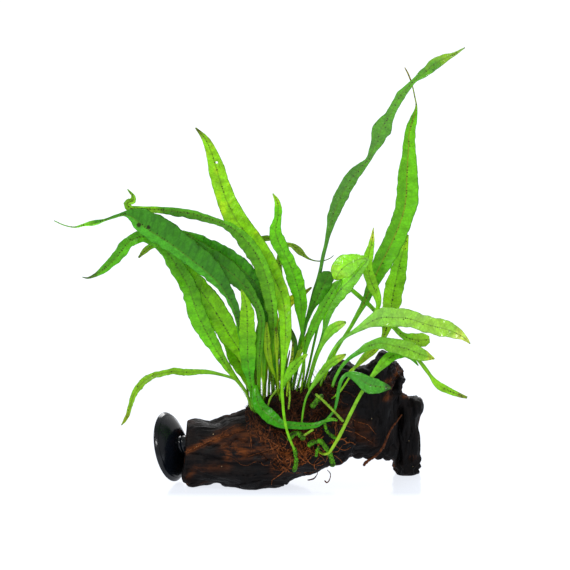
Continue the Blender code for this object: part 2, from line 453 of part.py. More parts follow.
def add_cutter(name, rings, collection):
    cutter = bpy.data.objects.new(name, loft(name, rings))
    cutter.hide_render = True
    cutter.display_type = "WIRE"
    collection.objects.link(cutter)
    return cutter


def cut(obj, cutter):
    modifier = obj.modifiers.new("seat", "BOOLEAN")
    modifier.operation = "DIFFERENCE"
    modifier.solver = "EXACT"
    modifier.use_self = True
    modifier.object = cutter


def build_root_mat(trunk, cutter, collection):
    """A saddle that starts under the wood's surface; the wood, grown by the gap, then cuts its inner side."""
    sections = {section[0]: section for section in trunk}
    rings = []
    for x, first, last, thickness in MAT_SECTIONS:
        outer, inner = [], []
        for i in range(MAT_POINTS):
            share = i / (MAT_POINTS - 1)
            angle = math.radians(first + (last - first) * share)
            swell = math.sin(math.pi * share) ** 0.5 * (0.6 + 0.4 * max(0.0, math.sin(angle)) ** 2)
            uneven = 1 + 0.12 * math.sin(2.3 * i + 0.9 * x)
            outer.append(wood_point(sections[x], angle, (thickness + MAT_ROOT) * swell * uneven - MAT_ROOT))
            inner.append(wood_point(sections[x], angle, -2 * MAT_ROOT))
        rings.append(outer + inner[::-1])
    mesh = loft("root_mat", rings)
    mat = add_object("root_mat", mesh, surface_material("root_fibre", (0.10, 0.035, 0.012), 0.9), collection)
    cut(mat, cutter)
    return mesh


def smooth_path(points, spacing):
    """Points on a smooth curve through all of these points, at most about this far apart."""
    knots = [0.0]
    for a, b in zip(points, points[1:]):
        knots.append(knots[-1] + math.dist(a[:3], b[:3]))
    result = [tuple(points[0])]
    for span in range(len(points) - 1):
        length = knots[span + 1] - knots[span]
        steps = max(1, round(length / spacing))
        for step in range(1, steps + 1):
            result.append(hermite(points, knots, span, step / steps))
    return result


def hermite(points, knots, span, t):
    """The value at a share of a span, with slopes taken from the neighbours of each point."""

    def slope(i):
        low, high = max(i - 1, 0), min(i + 1, len(points) - 1)
        reach = knots[high] - knots[low]
        return [(b - a) / reach for a, b in zip(points[low], points[high])]

    length = knots[span + 1] - knots[span]
    return tuple(
        a * (1 + 2 * t) * (1 - t) ** 2
        + b * t * t * (3 - 2 * t)
        + (near * t * (1 - t) ** 2 - far * t * t * (1 - t)) * length
        for a, b, near, far in zip(points[span], points[span + 1], slope(span), slope(span + 1))
    )


def inside(tree, point):
    """Whether a ray from the point leaves the closed mesh more often than it enters it."""
    crossings = 0
    hit = tree.ray_cast(point, RAY)[0]
    while hit is not None:
        crossings += 1
        hit = tree.ray_cast(hit + RAY * 1e-6, RAY)[0]
    return crossings % 2 == 1


class Bed:
    """What the stalks grow out of and lie on: the wood, the mat, and the tubes laid so far."""

    def __init__(self, meshes):
        self.trees = []
        for mesh in meshes:
            points = [vertex.co for vertex in mesh.vertices]
            faces = [polygon.vertices for polygon in mesh.polygons]
            self.trees.append(BVHTree.FromPolygons(points, faces))
        self.tubes = []

    def room(self, point):
        """The distance in millimetres from the point to the nearest surface, below zero inside."""
        least = math.inf
        for tree in self.trees:
            distance = tree.find_nearest(point)[3] / MM
            least = min(least, -distance if inside(tree, point) else distance)
        for radius, path in self.tubes:
            for a, b in zip(path, path[1:]):
                share = (point - a).dot(b - a) / (b - a).length_squared
                nearest = a + (b - a) * min(1.0, max(0.0, share))
                least = min(least, (point - nearest).length / MM - radius)
        return least

    def in_front(self, across, up, back, need):
        """The depth, brought towards the viewer until the point has this much room."""
        for _ in range(12):
            room = self.room(spot(across, up, back))
            if room >= need:
                break
            back -= need - room
        return back


def build_tubes(bed, collection):
    stem = surface_material("fern_stem", (0.06, 0.20, 0.03), 0.5)
    root = surface_material("woody_root", (0.13, 0.045, 0.015), 0.8)
    for name, diameter, points in TUBES:
        path = smooth_path(points, 4.0)
        if name not in UNDER_WOOD:
            need = diameter / 2 + GAP + 0.1
            path = [(across, up, bed.in_front(across, up, back, need)) for across, up, back in path]
        placed = [spot(*point) for point in path]
        curve = bpy.data.curves.new(name, "CURVE")
        curve.dimensions = "3D"
        curve.bevel_depth = diameter / 2 * MM
        curve.bevel_resolution = 1
        curve.use_fill_caps = True
        spline = curve.splines.new("POLY")
        spline.points.add(len(placed) - 1)
        for target, point in zip(spline.points, placed):
            target.co = (*point, 1.0)
        add_object(name, curve, root if name.startswith("root") else stem, collection)
        bed.tubes.append((diameter / 2, placed))


def leaf_depth(width):
    """Half of what a leaf of this width takes up from front to back."""
    return 0.5 * width if width < STALK_WIDTH else 0.5 * BLADE_THICKNESS + BLADE_FOLD * width / 2 + 0.1


def settle(paths):
    """Moves leaves that cross in the view apart from front to back, in the order in which they lie."""
    samples = [np.array(path) for path in paths]
    moved = [np.zeros(len(path)) for path in samples]
    depths = [np.array([leaf_depth(width) for width in path[:, 3]]) for path in samples]
    crossings = []
    for i, first in enumerate(samples):
        for j in range(i + 1, len(samples)):
            second = samples[j]
            apart = np.hypot(first[:, None, 0] - second[None, :, 0], first[:, None, 1] - second[None, :, 1])
            reach = (first[:, None, 3] + second[None, :, 3]) / 2 + SAMPLE_SPACING / 2
            near, far = np.nonzero(apart < reach)
            if len(near):
                order = 1.0 if np.mean(second[far, 2] - first[near, 2]) > 0 else -1.0
                crossings.append((i, j, near, far, order))
    for _ in range(SETTLE_ROUNDS):
        pushes = [np.zeros(len(path)) for path in samples]
        for i, j, near, far, order in crossings:
            lead = samples[i][near, 2] + moved[i][near]
            trail = samples[j][far, 2] + moved[j][far]
            need = depths[i][near] + depths[j][far] + LEAF_CLEARANCE
            short = np.clip(need - order * (trail - lead), 0, None) / 2
            np.maximum.at(pushes[i], near, np.where(order > 0, 0, 1) * short)
            np.minimum.at(pushes[i], near, np.where(order > 0, -1, 0) * short)
            np.maximum.at(pushes[j], far, np.where(order > 0, 1, 0) * short)
            np.minimum.at(pushes[j], far, np.where(order > 0, 0, -1) * short)
        for path, shift, push in zip(samples, moved, pushes):
            shift += push
            inner = (shift[:-2] + 2 * shift[1:-1] + shift[2:]) / 4
            shift[1:-1] = inner
            shift[:3] = shift[:3] * (0.0, 0.4, 0.8)
    return moved


def nearest_sample(samples, point):
    """The number of the sample that is nearest in the view, with the depth counting less."""

    def distance(i):
        return math.dist(samples[i][:2], point[:2]) + 0.3 * abs(samples[i][2] - point[2])

    return min(range(len(samples)), key=distance)


def leaf_rings(turn_foot, turn_tip, path):
    """Sections from a square stalk to a thin folded blade that ends in a point."""
    tilt = math.radians(VIEW_DEGREES)
    viewer = Vector((0, -math.cos(tilt), math.sin(tilt)))
    blade_from = min(STALK_WIDTH, 0.6 * max(width for *_, width in path))
    points = [spot(across, up, back) for across, up, back, _ in path]
    blade = 0.0
    across = None
    rings = []
    for i, (*_, width) in enumerate(path):
        tangent = (points[min(i + 1, len(points) - 1)] - points[max(i - 1, 0)]).normalized()
        share = i / (len(path) - 1)
        turn = math.radians(turn_foot + (turn_tip - turn_foot) * share)
        side = tangent.cross(viewer).normalized()
        side = Matrix.Rotation(turn, 3, tangent) @ side
        across = -side if across is not None and side.dot(across) < 0 else side
        normal = across.cross(tangent)
        seen = max(width, 0.4)
        if seen > blade_from:
            blade = min(1.0, blade + 0.5)
        half = seen / 2 * (1 + blade * (1 / math.cos(turn) - 1)) * MM
        thickness = (seen + (min(BLADE_THICKNESS, seen) - seen) * blade) / 2 * MM
        valley = BLADE_FOLD * blade * half
        rings.append([
            points[i] + across * half,
            points[i] + normal * (thickness - valley),
            points[i] - across * half,
            points[i] - normal * (thickness + valley),
        ])
    return rings


def build_leaves(bed, collection):
    materials = {tone: surface_material(f"leaf_{tone}", color, 0.35) for tone, color in TONES.items()}
    fine = [smooth_path(points, SAMPLE_SPACING) for *_, points in LEAVES]
    moved = settle(fine)
    for (name, tone, turn_foot, turn_tip, points), samples, shifts in zip(LEAVES, fine, moved):
        path = []
        for across, up, back, width in smooth_path(points, STATION_SPACING):
            at = nearest_sample(samples, (across, up, back))
            path.append((across, up, back + shifts[at], width))
        path = out_of_bed(bed, path)
        add_object(name, loft(name, leaf_rings(turn_foot, turn_tip, path)), materials[tone], collection)


def out_of_bed(bed, path):
    """The path without the part of its foot that is in the bed, and in front of the bed all along."""
    fine = smooth_path(path, 1.0)
    first = 0
    while bed.room(spot(*fine[first][:3])) < fine[first][3] / 2 + FOOT_CLEARANCE and first < len(fine) // 2:
        first += 1
    start = fine[first]
    reached = [point for point in path if point in fine[first + 1:]]
    kept = [start] + reached
    if math.dist(kept[0][:3], kept[1][:3]) < 1.5:
        del kept[1]
    result = []
    for across, up, back, width in kept:
        need = leaf_depth(width) + GAP
        result.append((across, up, bed.in_front(across, up, back, need), width))
    return result


def cup_profile():
    """(radius, height) pairs down the outer side and back up the inside; the mouth looks down at height 0."""
    rim = CUP_DIAMETER / 2
    neck = NECK_DIAMETER / 2
    neck_top = CUP_HEIGHT + NECK_LENGTH
    outer = [(0.0, neck_top), (neck, neck_top), (neck, CUP_HEIGHT)]
    for step in range(1, 6):
        share = step / 6
        outer.append((neck + (rim - neck) * share, CUP_HEIGHT * (1 - share ** 1.7) + 0.8 * share))
    inner = [(rim, 0.6), (rim - 0.3, 0.0), (rim - 1.0, 0.0)]
    for step in range(5, 0, -1):
        share = step / 6
        inner.append(((rim - 1.4) * share, CUP_DEPTH * (1 - share ** 2)))
    inner.append((0.0, CUP_DEPTH))
    return outer + inner


def build_suction_cup(cutter, collection):
    profile = cup_profile()
    mesh = bpy.data.meshes.new("suction_cup")
    edges = [(i, i + 1) for i in range(len(profile) - 1)]
    mesh.from_pydata([(radius * MM, 0, height * MM) for radius, height in profile], edges, [])
    cup = add_object("suction_cup", mesh, surface_material("black_rubber", (0.006, 0.007, 0.008), 0.25), collection)
    screw = cup.modifiers.new("turned", "SCREW")
    screw.steps = screw.render_steps = 32
    screw.use_merge_vertices = True
    screw.merge_threshold = 0.00005
    plan = math.radians(CUP_PLAN_DEGREES)
    dip = math.radians(CUP_DIP_DEGREES)
    mouth = Vector((-math.cos(plan) * math.cos(dip), math.sin(plan) * math.cos(dip), -math.sin(dip)))
    cup.rotation_mode = "QUATERNION"
    cup.rotation_quaternion = (-mouth).to_track_quat("Z", "Y")
    cup.location = spot(*CUP_RIM_CENTRE)
    cut(cup, cutter)


def main():
    for obj in list(bpy.data.objects):
        bpy.data.objects.remove(obj)
    scene = bpy.context.scene
    collection = bpy.data.collections.new("java_fern_on_driftwood")
    cutters = bpy.data.collections.new("cutters")
    cutters.hide_render = True
    scene.collection.children.link(collection)
    scene.collection.children.link(cutters)
    trunk, meshes = build_driftwood(collection)
    cutter = add_cutter("trunk_seat", [wood_ring(section, GAP) for section in trunk], cutters)
    mat = build_root_mat(trunk, cutter, collection)
    bed = Bed([*meshes, mat])
    build_tubes(bed, collection)
    build_leaves(bed, collection)
    build_suction_cup(cutter, collection)


main()
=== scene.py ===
# Java fern on driftwood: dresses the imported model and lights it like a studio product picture.
# Tables are in millimetres as the front view shows them: across, up along the picture, and depth (back).

import functools
import math
import random

import bmesh
import bpy
import numpy as np
from mathutils import Matrix, Vector, noise
from mathutils.bvhtree import BVHTree


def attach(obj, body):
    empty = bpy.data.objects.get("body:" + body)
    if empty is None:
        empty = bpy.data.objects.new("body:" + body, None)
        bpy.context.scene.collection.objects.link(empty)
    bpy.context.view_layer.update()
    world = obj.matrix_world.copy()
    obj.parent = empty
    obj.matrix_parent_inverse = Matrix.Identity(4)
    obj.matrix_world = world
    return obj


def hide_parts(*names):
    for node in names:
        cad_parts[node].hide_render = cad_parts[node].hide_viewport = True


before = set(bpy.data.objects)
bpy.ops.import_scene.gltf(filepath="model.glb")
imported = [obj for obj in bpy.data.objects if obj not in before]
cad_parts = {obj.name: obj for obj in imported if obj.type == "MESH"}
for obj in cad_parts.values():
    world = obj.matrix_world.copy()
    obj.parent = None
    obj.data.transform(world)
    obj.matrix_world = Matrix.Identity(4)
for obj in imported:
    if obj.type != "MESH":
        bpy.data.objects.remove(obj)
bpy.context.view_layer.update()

mm = 0.001
viewDegrees = 12.0
nearestBack = -25.0  # the depth at which the wood's lowest front edge touches the floor, at "up" 0
acrossShift = 0.1  # these two centre the object on the origin
backShift = 1.4
tilt = math.radians(viewDegrees)
toViewer = Vector((0, -math.cos(tilt), math.sin(tilt)))


def spot(across, up, back):
    # the point, in metres, that the front view shows at (across, up) and that lies at this depth
    height = (up - (back - nearestBack) * math.sin(tilt)) / math.cos(tilt)
    return Vector((across + acrossShift, back + backShift, height)) * mm


def seenUp(y, z):
    # how far up the front view shows a point at this depth and height, in millimetres
    return z * math.cos(tilt) + (y - nearestBack) * math.sin(tilt)


def hexColour(code):
    # sRGB hex to the linear colour that a shader takes
    values = [int(code[i:i + 2], 16) / 255 for i in (1, 3, 5)]
    return tuple(v / 12.92 if v <= 0.04045 else ((v + 0.055) / 1.055) ** 2.4 for v in values) + (1.0,)


def addNode(tree, kind, *inputs, out=0, **settings):
    # adds a node and gives one of its outputs; its inputs come in the node's own order, or in a dictionary
    # by name or number, and each is a value, a hex colour or an output to link from
    node = tree.nodes.new(kind if "Node" in kind else "ShaderNode" + kind)
    for name, value in settings.items():
        setattr(node, name, value)
    given = inputs[0] if inputs and isinstance(inputs[0], dict) else dict(enumerate(inputs))
    for name, value in given.items():
        if isinstance(value, bpy.types.NodeSocket):
            tree.links.new(value, node.inputs[name])
        else:
            node.inputs[name].default_value = hexColour(value) if str(value).startswith("#") else value
    return node.outputs[out] if len(node.outputs) else node


def newMaterial(name):
    # an empty material, and the function that adds nodes to it
    material = bpy.data.materials.new(name)
    material.use_nodes = True
    material.node_tree.nodes.clear()
    return material, functools.partial(addNode, material.node_tree)


def newObject(name, data):
    thing = bpy.data.objects.new(name, data)
    bpy.context.scene.collection.objects.link(thing)
    return thing


def newPiece(name, mesh, materials, replaced=()):
    # a finished piece at the origin that rides on the part
    piece = newObject(name, mesh)
    mesh.materials.clear()
    for material in materials:
        mesh.materials.append(material)
    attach(piece, "root")
    if replaced:
        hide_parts(*replaced)
    return piece


def turnedOut(bm, mesh):
    # writes the faces to the mesh, smooth and all pointing outwards
    bmesh.ops.recalc_face_normals(bm, faces=bm.faces[:])
    bm.to_mesh(mesh)
    bm.free()
    mesh.shade_smooth()
    return mesh


def smoothMesh(name, points, faces):
    mesh = bpy.data.meshes.new(name)
    mesh.from_pydata(points, [], faces)
    bm = bmesh.new()
    bm.from_mesh(mesh)
    return turnedOut(bm, mesh)


def appliedMesh(holder):
    # the object's mesh as its modifiers leave it; the object itself goes
    graph = bpy.context.evaluated_depsgraph_get()
    mesh = bpy.data.meshes.new_from_object(holder.evaluated_get(graph))
    bpy.data.objects.remove(holder)
    return mesh


def treeOf(mesh):
    return BVHTree.FromPolygons([v.co for v in mesh.vertices], [p.vertices for p in mesh.polygons])


def nearestOn(trees, point):
    # the nearest place on any of these surfaces, its normal, its face's number and its distance
    return min((tree.find_nearest(point) for tree in trees), key=lambda hit: hit[3])


def camelCase(words):
    return words[0] + "".join(word.capitalize() for word in words[1:])


def hermite(points, knots, span, t):
    # the value at a share of a span, with slopes taken from the neighbours of each point
    def slope(i):
        low, high = max(i - 1, 0), min(i + 1, len(points) - 1)
        return [(b - a) / (knots[high] - knots[low]) for a, b in zip(points[low], points[high])]

    length = knots[span + 1] - knots[span]
    return tuple(
        a * (1 + 2 * t) * (1 - t) ** 2
        + b * t * t * (3 - 2 * t)
        + (near * t * (1 - t) ** 2 - far * t * t * (1 - t)) * length
        for a, b, near, far in zip(points[span], points[span + 1], slope(span), slope(span + 1))
    )


def smoothPath(points, spacing):
    # points on a smooth curve through all of these, at most about this far apart
    knots = [0.0]
    for a, b in zip(points, points[1:]):
        knots.append(knots[-1] + math.dist(a[:3], b[:3]))
    result = [tuple(points[0])]
    for span in range(len(points) - 1):
        steps = max(1, round((knots[span + 1] - knots[span]) / spacing))
        for step in range(1, steps + 1):
            result.append(hermite(points, knots, span, step / steps))
    return result


def smoothStep(value, low, high):
    share = min(1.0, max(0.0, (value - low) / (high - low)))
    return share * share * (3 - 2 * share)


def wander(along, period, seed):
    # smooth noise from -1 to 1 along a line, in millimetres
    return noise.noise(Vector((along / period, seed * 7.31, seed * 3.17))) * 1.8


# Camera: the picture is 324.9 mm wide at the object, seen from 12 degrees above through a long lens.
cameraSetup = {"distance": 6.0, "pictureWidth": 0.3249, "centreAcross": 12.26, "centreUp": 118.3}


def addCamera():
    data = bpy.data.cameras.new("camera")
    data.sensor_width = 36.0
    data.lens = 36.0 * cameraSetup["distance"] / cameraSetup["pictureWidth"]
    data.clip_end = 40.0
    camera = newObject("camera", data)
    aim = spot(cameraSetup["centreAcross"], cameraSetup["centreUp"], 0)
    camera.location = aim + toViewer * cameraSetup["distance"]
    camera.rotation_euler = (math.radians(90 - viewDegrees), 0, 0)
    bpy.context.scene.camera = camera


addCamera()
print("camera set")

# The trunk's sections: x, highest and lowest "up" of the outline, front, back.
trunkSections = (
    (-46.5, 10.5, 7.5, -17, -8),
    (-45.4, 15.5, 5.6, -19, 0),
    (-44.4, 21.0, 4.6, -20, 6),
    (-43.6, 41.0, 4.0, -19, 19),
    (-41.0, 41.4, 3.0, -20, 20),
    (-36.0, 41.4, 3.7, -21, 20),
    (-31.0, 41.3, 4.0, -22, 21),
    (-25.0, 42.4, 4.8, -23, 22),
    (-18.0, 45.6, 2.2, -24, 22),
    (-10.0, 47.5, 0.3, -25, 22),
    (-3.0, 49.0, 0.5, -26, 22),
    (5.0, 50.5, 2.3, -26.5, 23),
    (13.0, 52.0, 4.8, -26.5, 24),
    (21.0, 54.0, 7.8, -26, 25),
    (28.0, 57.0, 11.0, -25, 25),
    (34.0, 65.0, 12.7, -24, 26),
    (39.0, 71.0, 13.8, -22, 27),
    (44.0, 74.5, 15.2, -20, 27),
    (47.5, 74.3, 18.5, -18, 27),
)
# The crag's sections, in the same way.
cragSections = (
    (47.8, 74.2, 19.5, -11, 27),
    (51.0, 72.8, 20.4, -8, 27),
    (54.0, 72.5, 21.0, -7, 27),
    (57.5, 73.5, 21.3, -6, 27),
    (60.0, 73.8, 21.0, -5, 27),
    (63.5, 75.5, 21.0, -4, 27),
    (65.5, 77.0, 20.6, -4, 27),
    (67.2, 80.6, 20.2, -3, 26),
    (69.5, 82.0, 20.0, -2, 26),
    (72.0, 79.0, 19.6, 0, 26),
    (74.5, 77.0, 17.4, 5, 26),
    (76.3, 75.0, 12.4, 9, 27),
    (76.6, 73.6, 56.4, 9, 25),
    (78.8, 66.0, 56.6, 10, 22),
    (80.2, 63.0, 57.4, 11, 19),
)
# The leg's sections: "up" of its right outline, left, right, front, back.
legSections = (
    (10.4, 77.6, 86.6, 17.5, 33),
    (12.2, 77.3, 88.6, 16.5, 34),
    (15.5, 76.95, 89.3, 16, 34),
    (21.0, 76.95, 89.5, 15, 34),
    (28.0, 76.95, 89.2, 14, 33),
    (34.0, 76.95, 89.0, 13, 32),
    (40.0, 76.95, 88.6, 12, 31),
    (43.5, 76.95, 88.6, 12, 31),
    (46.5, 76.95, 90.2, 12, 30),
    (50.0, 76.95, 90.6, 12, 29),
    (52.4, 77.6, 89.6, 14, 27),
    (53.8, 79.6, 87.4, 16, 25),
)
woodForm = {
    "ringPoints": 96,
    "step": 0.8,  # between the rings of a limb
    "squareness": 2.6,  # 2 is an ellipse, more is squarer
    "lump": 0.9,
    "heelAt": -33.0,  # the trunk's hidden foot at the back left
    "heelReach": 11.0,
    "heelDrop": 4.4,
    "restHeight": 0.9,  # wood that comes lower than this stands on the table
    "sunk": 4.0,  # a limb's end goes this far on into the next limb, at this size
    "sunkSize": 0.86,
    "cragEnd": 78.2,  # where the crag's rings stop, inside the leg
    "legLeft": 1.2,  # the lower part of the leg reaches this much further left than its solid
    "voxel": 0.00072,
    "softenRounds": 4,
    "proud": 0.55,  # the bark stands this much outside the limbs' sections
    "knots": (  # lumps in the fork, under the crag and on the foot: across, up, depth and radius
        (77.3, 53.5, 14, 4.6), (79.5, 52.0, 14, 3.6), (74.5, 51.0, 14, 5.0), (54.0, 23.6, 6, 4.2),
        (60.0, 23.0, 8, 4.4), (66.0, 22.8, 10, 4.4), (71.0, 23.0, 12, 4.4), (82.5, 13.0, 24, 4.0),
        (86.0, 13.2, 24, 4.2),
    ),
    "grainTurns": (58, 82),  # where x plus a quarter of z turns the grain from lying to upright
    "lumps": 0.9,  # heights of the weathering in millimetres: lumps of 11 mm
    "furrows": 1.1,  # furrows along the grain, about 4 mm apart
    "fineFurrows": 0.5,
    "cracks": 2.0,
}
# Rust-brown stains on the front: from and to (across, up), radius and strength.
stains = (
    (-44.5, 23, -34, 28, 1.3, 1.0), (-34, 28, -26, 31, 2.0, 1.0), (-26, 31, -13, 36, 2.6, 0.5),
    (-20, 21, -11, 22.5, 2.6, 1.0), (7, 13.5, 11, 14.5, 2.4, 1.0), (-4, 28, 8, 24, 5.0, 0.55),
    (-10, 30, 2, 36, 4.5, 0.5), (-43, 9, -40, 12, 1.6, 0.4), (-38, 14, -20, 15, 2.2, 0.25),
    (-20, 25, -3, 24, 4.5, 0.6), (-12, 30, 0, 22, 3.5, 0.4),
    (77.5, 73, 75, 67.5, 1.3, 0.9), (75, 67.5, 70, 63, 1.2, 0.9), (73.5, 62, 69.5, 53, 1.2, 0.6),
    (80, 54.5, 84, 54.5, 1.0, 0.5), (85, 19, 86, 20, 1.1, 0.7), (45, 42, 58, 37, 3.5, 0.3),
    (52, 33, 62, 29, 3.0, 0.25), (40, 47, 50, 44, 3.0, 0.3), (-45, 40.5, -36, 41, 0.9, 0.3),
)


def roundedPoint(low, high, angle):
    # a point on the rounded rectangle between two corners; 0 degrees is the low side, 90 the top
    power = 2.0 / woodForm["squareness"]
    cosine, sine = -math.cos(angle), math.sin(angle)
    first = math.copysign(abs(cosine) ** power, cosine)
    second = math.copysign(abs(sine) ** power, sine)
    return ((low[0] + high[0]) / 2 + (high[0] - low[0]) / 2 * first,
            (low[1] + high[1]) / 2 + (high[1] - low[1]) / 2 * second)


def woodSection(section):
    # x, front, back, bottom and top, with the heights that put the outline where the view has it
    x, upTop, upBottom, front, back = section
    bottom, top = upBottom, upTop
    angles = [2 * math.pi * i / 20 for i in range(20)]
    for _ in range(6):  # each round comes closer
        ups = [seenUp(*roundedPoint((front, bottom), (back, top), a)) for a in angles]
        top += upTop - max(ups)
        bottom += upBottom - min(ups)
    return x, front, back, bottom, top


def woodLump(along, angle):
    furrows = math.sin(5 * angle + 0.13 * along) + 0.7 * math.sin(9 * angle - 0.21 * along + 1.7)
    return woodForm["lump"] * (0.5 * furrows + 0.5 * math.sin(0.37 * along + 2 * angle))


def woodPoint(section, angle, proud=0.0):
    x, front, back, bottom, top = section
    grown = proud + min(0.0, woodLump(x, angle) - woodForm["lump"])
    y, z = roundedPoint((front - grown, bottom - grown), (back + grown, top + grown), angle)
    if math.sin(angle) < 0:
        heel = max(0.0, 1 - ((x - woodForm["heelAt"]) / woodForm["heelReach"]) ** 2)
        z -= woodForm["heelDrop"] * heel * max(0.0, min(1.0, y / 12.0))
    if z < woodForm["restHeight"] + proud:
        z = 0.0
    return Vector((x + acrossShift, y + backShift, z)) * mm


def between(rows, x):
    # the row of a table at this x, between its neighbours
    columns = list(zip(*rows))
    return (x, *(float(np.interp(x, columns[0], column)) for column in columns[1:]))


def addLoft(bm, rings):
    # faces from ring to ring, and one over each end
    loops = [[bm.verts.new(point) for point in ring] for ring in rings]
    count = len(loops[0])
    for near, far in zip(loops, loops[1:]):
        for i in range(count):
            j = (i + 1) % count
            bm.faces.new((near[i], near[j], far[j], far[i]))
    bm.faces.new(reversed(loops[0]))
    bm.faces.new(loops[-1])


def loftMesh(name, rings):
    # a closed skin through the rings
    bm = bmesh.new()
    addLoft(bm, rings)
    return turnedOut(bm, bpy.data.meshes.new(name))


trunkSolved = [woodSection(section) for section in trunkSections]
cragSolved = [woodSection(section) for section in cragSections]


def stepped(first, last, step):
    # places at this distance, and the last one
    return list(np.arange(first, last, step)) + [last]


def shrunkRing(ring, shift):
    # a smaller ring further on, so that one limb's end sinks into the next limb
    centre = sum(ring, Vector()) / len(ring)
    return [centre + (point - centre) * woodForm["sunkSize"] + Vector((shift * mm, 0, 0)) for point in ring]


def legRing(up, angles):
    _, left, right, front, back = between(legSections, up)
    left -= woodForm["legLeft"] * (1 - smoothStep(up, 36, 44))
    height = (up - ((front + back) / 2 - nearestBack) * math.sin(tilt)) / math.cos(tilt)
    height = 0.0 if height < woodForm["restHeight"] else height
    places = [roundedPoint((left, front), (right, back), a) for a in angles]
    return [Vector((x + acrossShift, y + backShift, height)) * mm for x, y in places]


def driftwoodForm():
    # the three limbs run into each other, and a remesh makes one skin of them
    angles = [2 * math.pi * i / woodForm["ringPoints"] for i in range(woodForm["ringPoints"])]
    bm = bmesh.new()
    trunkPlaces = stepped(trunkSections[0][0], trunkSections[-1][0], woodForm["step"])
    rings = [[woodPoint(between(trunkSolved, x), a) for a in angles] for x in trunkPlaces]
    addLoft(bm, rings + [shrunkRing(rings[-1], woodForm["sunk"])])
    cragPlaces = np.arange(cragSections[0][0], woodForm["cragEnd"], woodForm["step"])
    rings = [[woodPoint(between(cragSolved, x), a) for a in angles] for x in cragPlaces]
    addLoft(bm, [shrunkRing(rings[0], -woodForm["sunk"])] + rings)
    legPlaces = stepped(legSections[0][0], legSections[-1][0], woodForm["step"])
    addLoft(bm, [legRing(up, angles) for up in legPlaces])
    for across, up, back, radius in woodForm["knots"]:
        middle = Matrix.Translation(spot(across, up, back))
        bmesh.ops.create_icosphere(bm, subdivisions=3, radius=radius * mm, matrix=middle)
    limbs = newObject("limbs", turnedOut(bm, bpy.data.meshes.new("limbs")))
    remesh = limbs.modifiers.new("one skin", "REMESH")
    remesh.mode = "VOXEL"
    remesh.voxel_size = woodForm["voxel"]
    limbs.modifiers.new("soften", "SMOOTH").iterations = woodForm["softenRounds"]
    return appliedMesh(limbs)


def grainPlaces(point):
    # the point squeezed along the grain: along X in the trunk, upright in the leg
    x, y, z = point
    return Vector((x / 24, y / 4.2, z / 4.2)), Vector((x / 4.2, y / 4.2, z / 26))


def barkHeight(point, normal, grains, legShare):
    # furrows and cracks along the grain, lumps, ragged wood at the fork and the foot, and a sawn left end
    height = 0.0
    for place, share in zip(grains, (1 - legShare, legShare)):
        if share <= 0:
            continue
        furrow = 1 - 2.6 * abs(noise.noise(place))
        fine = noise.noise(place * 2.7 + Vector((7, 3, 1)))
        line = abs(noise.noise(place * 0.75 + Vector((31, 17, 5))))
        cracked = smoothStep(noise.noise(point / 17 + Vector((3, 8, 2))), -0.1, 0.25)
        crack = max(0.0, 1 - line / 0.05) * cracked
        height += share * (woodForm["furrows"] * (furrow - 0.6) + woodForm["fineFurrows"] * fine
                           - woodForm["cracks"] * crack)
    height += woodForm["lumps"] * noise.noise(point / 11) * 1.6
    fork = smoothStep(point.x, 64, 74) * smoothStep(point.z, 44, 52)
    foot = smoothStep(point.x, 72, 80) * smoothStep(-point.z, -14, -6)
    ragged = max(fork, 0.8 * foot)
    height += ragged * (3.2 * noise.noise(point / 4.3) + 1.4 * noise.noise(point / 1.9))
    sawn = smoothStep(-normal.x, 0.6, 0.9) * smoothStep(-point.x, 41.5, 43)
    return height * (1 - 0.85 * sawn)


def stainAt(across, up):
    # how strong the stains are at a place in the front view
    amount = 0.0
    for a0, u0, a1, u1, radius, strength in stains:
        run = (a1 - a0, u1 - u0)
        share = ((across - a0) * run[0] + (up - u0) * run[1]) / (run[0] ** 2 + run[1] ** 2)
        share = min(1.0, max(0.0, share))
        apart = math.dist((across, up), (a0 + run[0] * share, u0 + run[1] * share)) / radius
        if apart < 3:
            amount = max(amount, strength * math.exp(-apart * apart))
    return amount


def weather(mesh):
    # moves the skin by the height of its bark, and stores its stains as an attribute
    normals = [vertex.normal.copy() for vertex in mesh.vertices]
    rust = []
    for vertex, normal in zip(mesh.vertices, normals):
        point = vertex.co / mm
        legShare = smoothStep(point.x + 0.25 * point.z, *woodForm["grainTurns"])
        grains = grainPlaces(point)
        height = barkHeight(point, normal, grains, legShare) * smoothStep(point.z, 0.2, 2.5)
        moved = point + normal * (height + woodForm["proud"])
        moved.z = max(0.0, moved.z)
        vertex.co = moved * mm
        facing = smoothStep(normal.dot(toViewer), 0.0, 0.3)
        stained = stainAt(point.x - acrossShift, seenUp(point.y - backShift, point.z))
        grain = grains[0] if legShare < 0.5 else grains[1]
        behind = 0.7 * smoothStep(noise.noise(grain * 0.8 + Vector((9, 1, 4))), 0.1, 0.5)
        rust.append(stained * facing + behind * (1 - facing))
    mesh.attributes.new("stain", "FLOAT", "POINT").data.foreach_set("value", rust)


woodColours = {"dark": "#030203", "worn": "#17100E", "stain": "#703A12", "deepStain": "#2A140A",
               "sand": "#8C7A5A"}


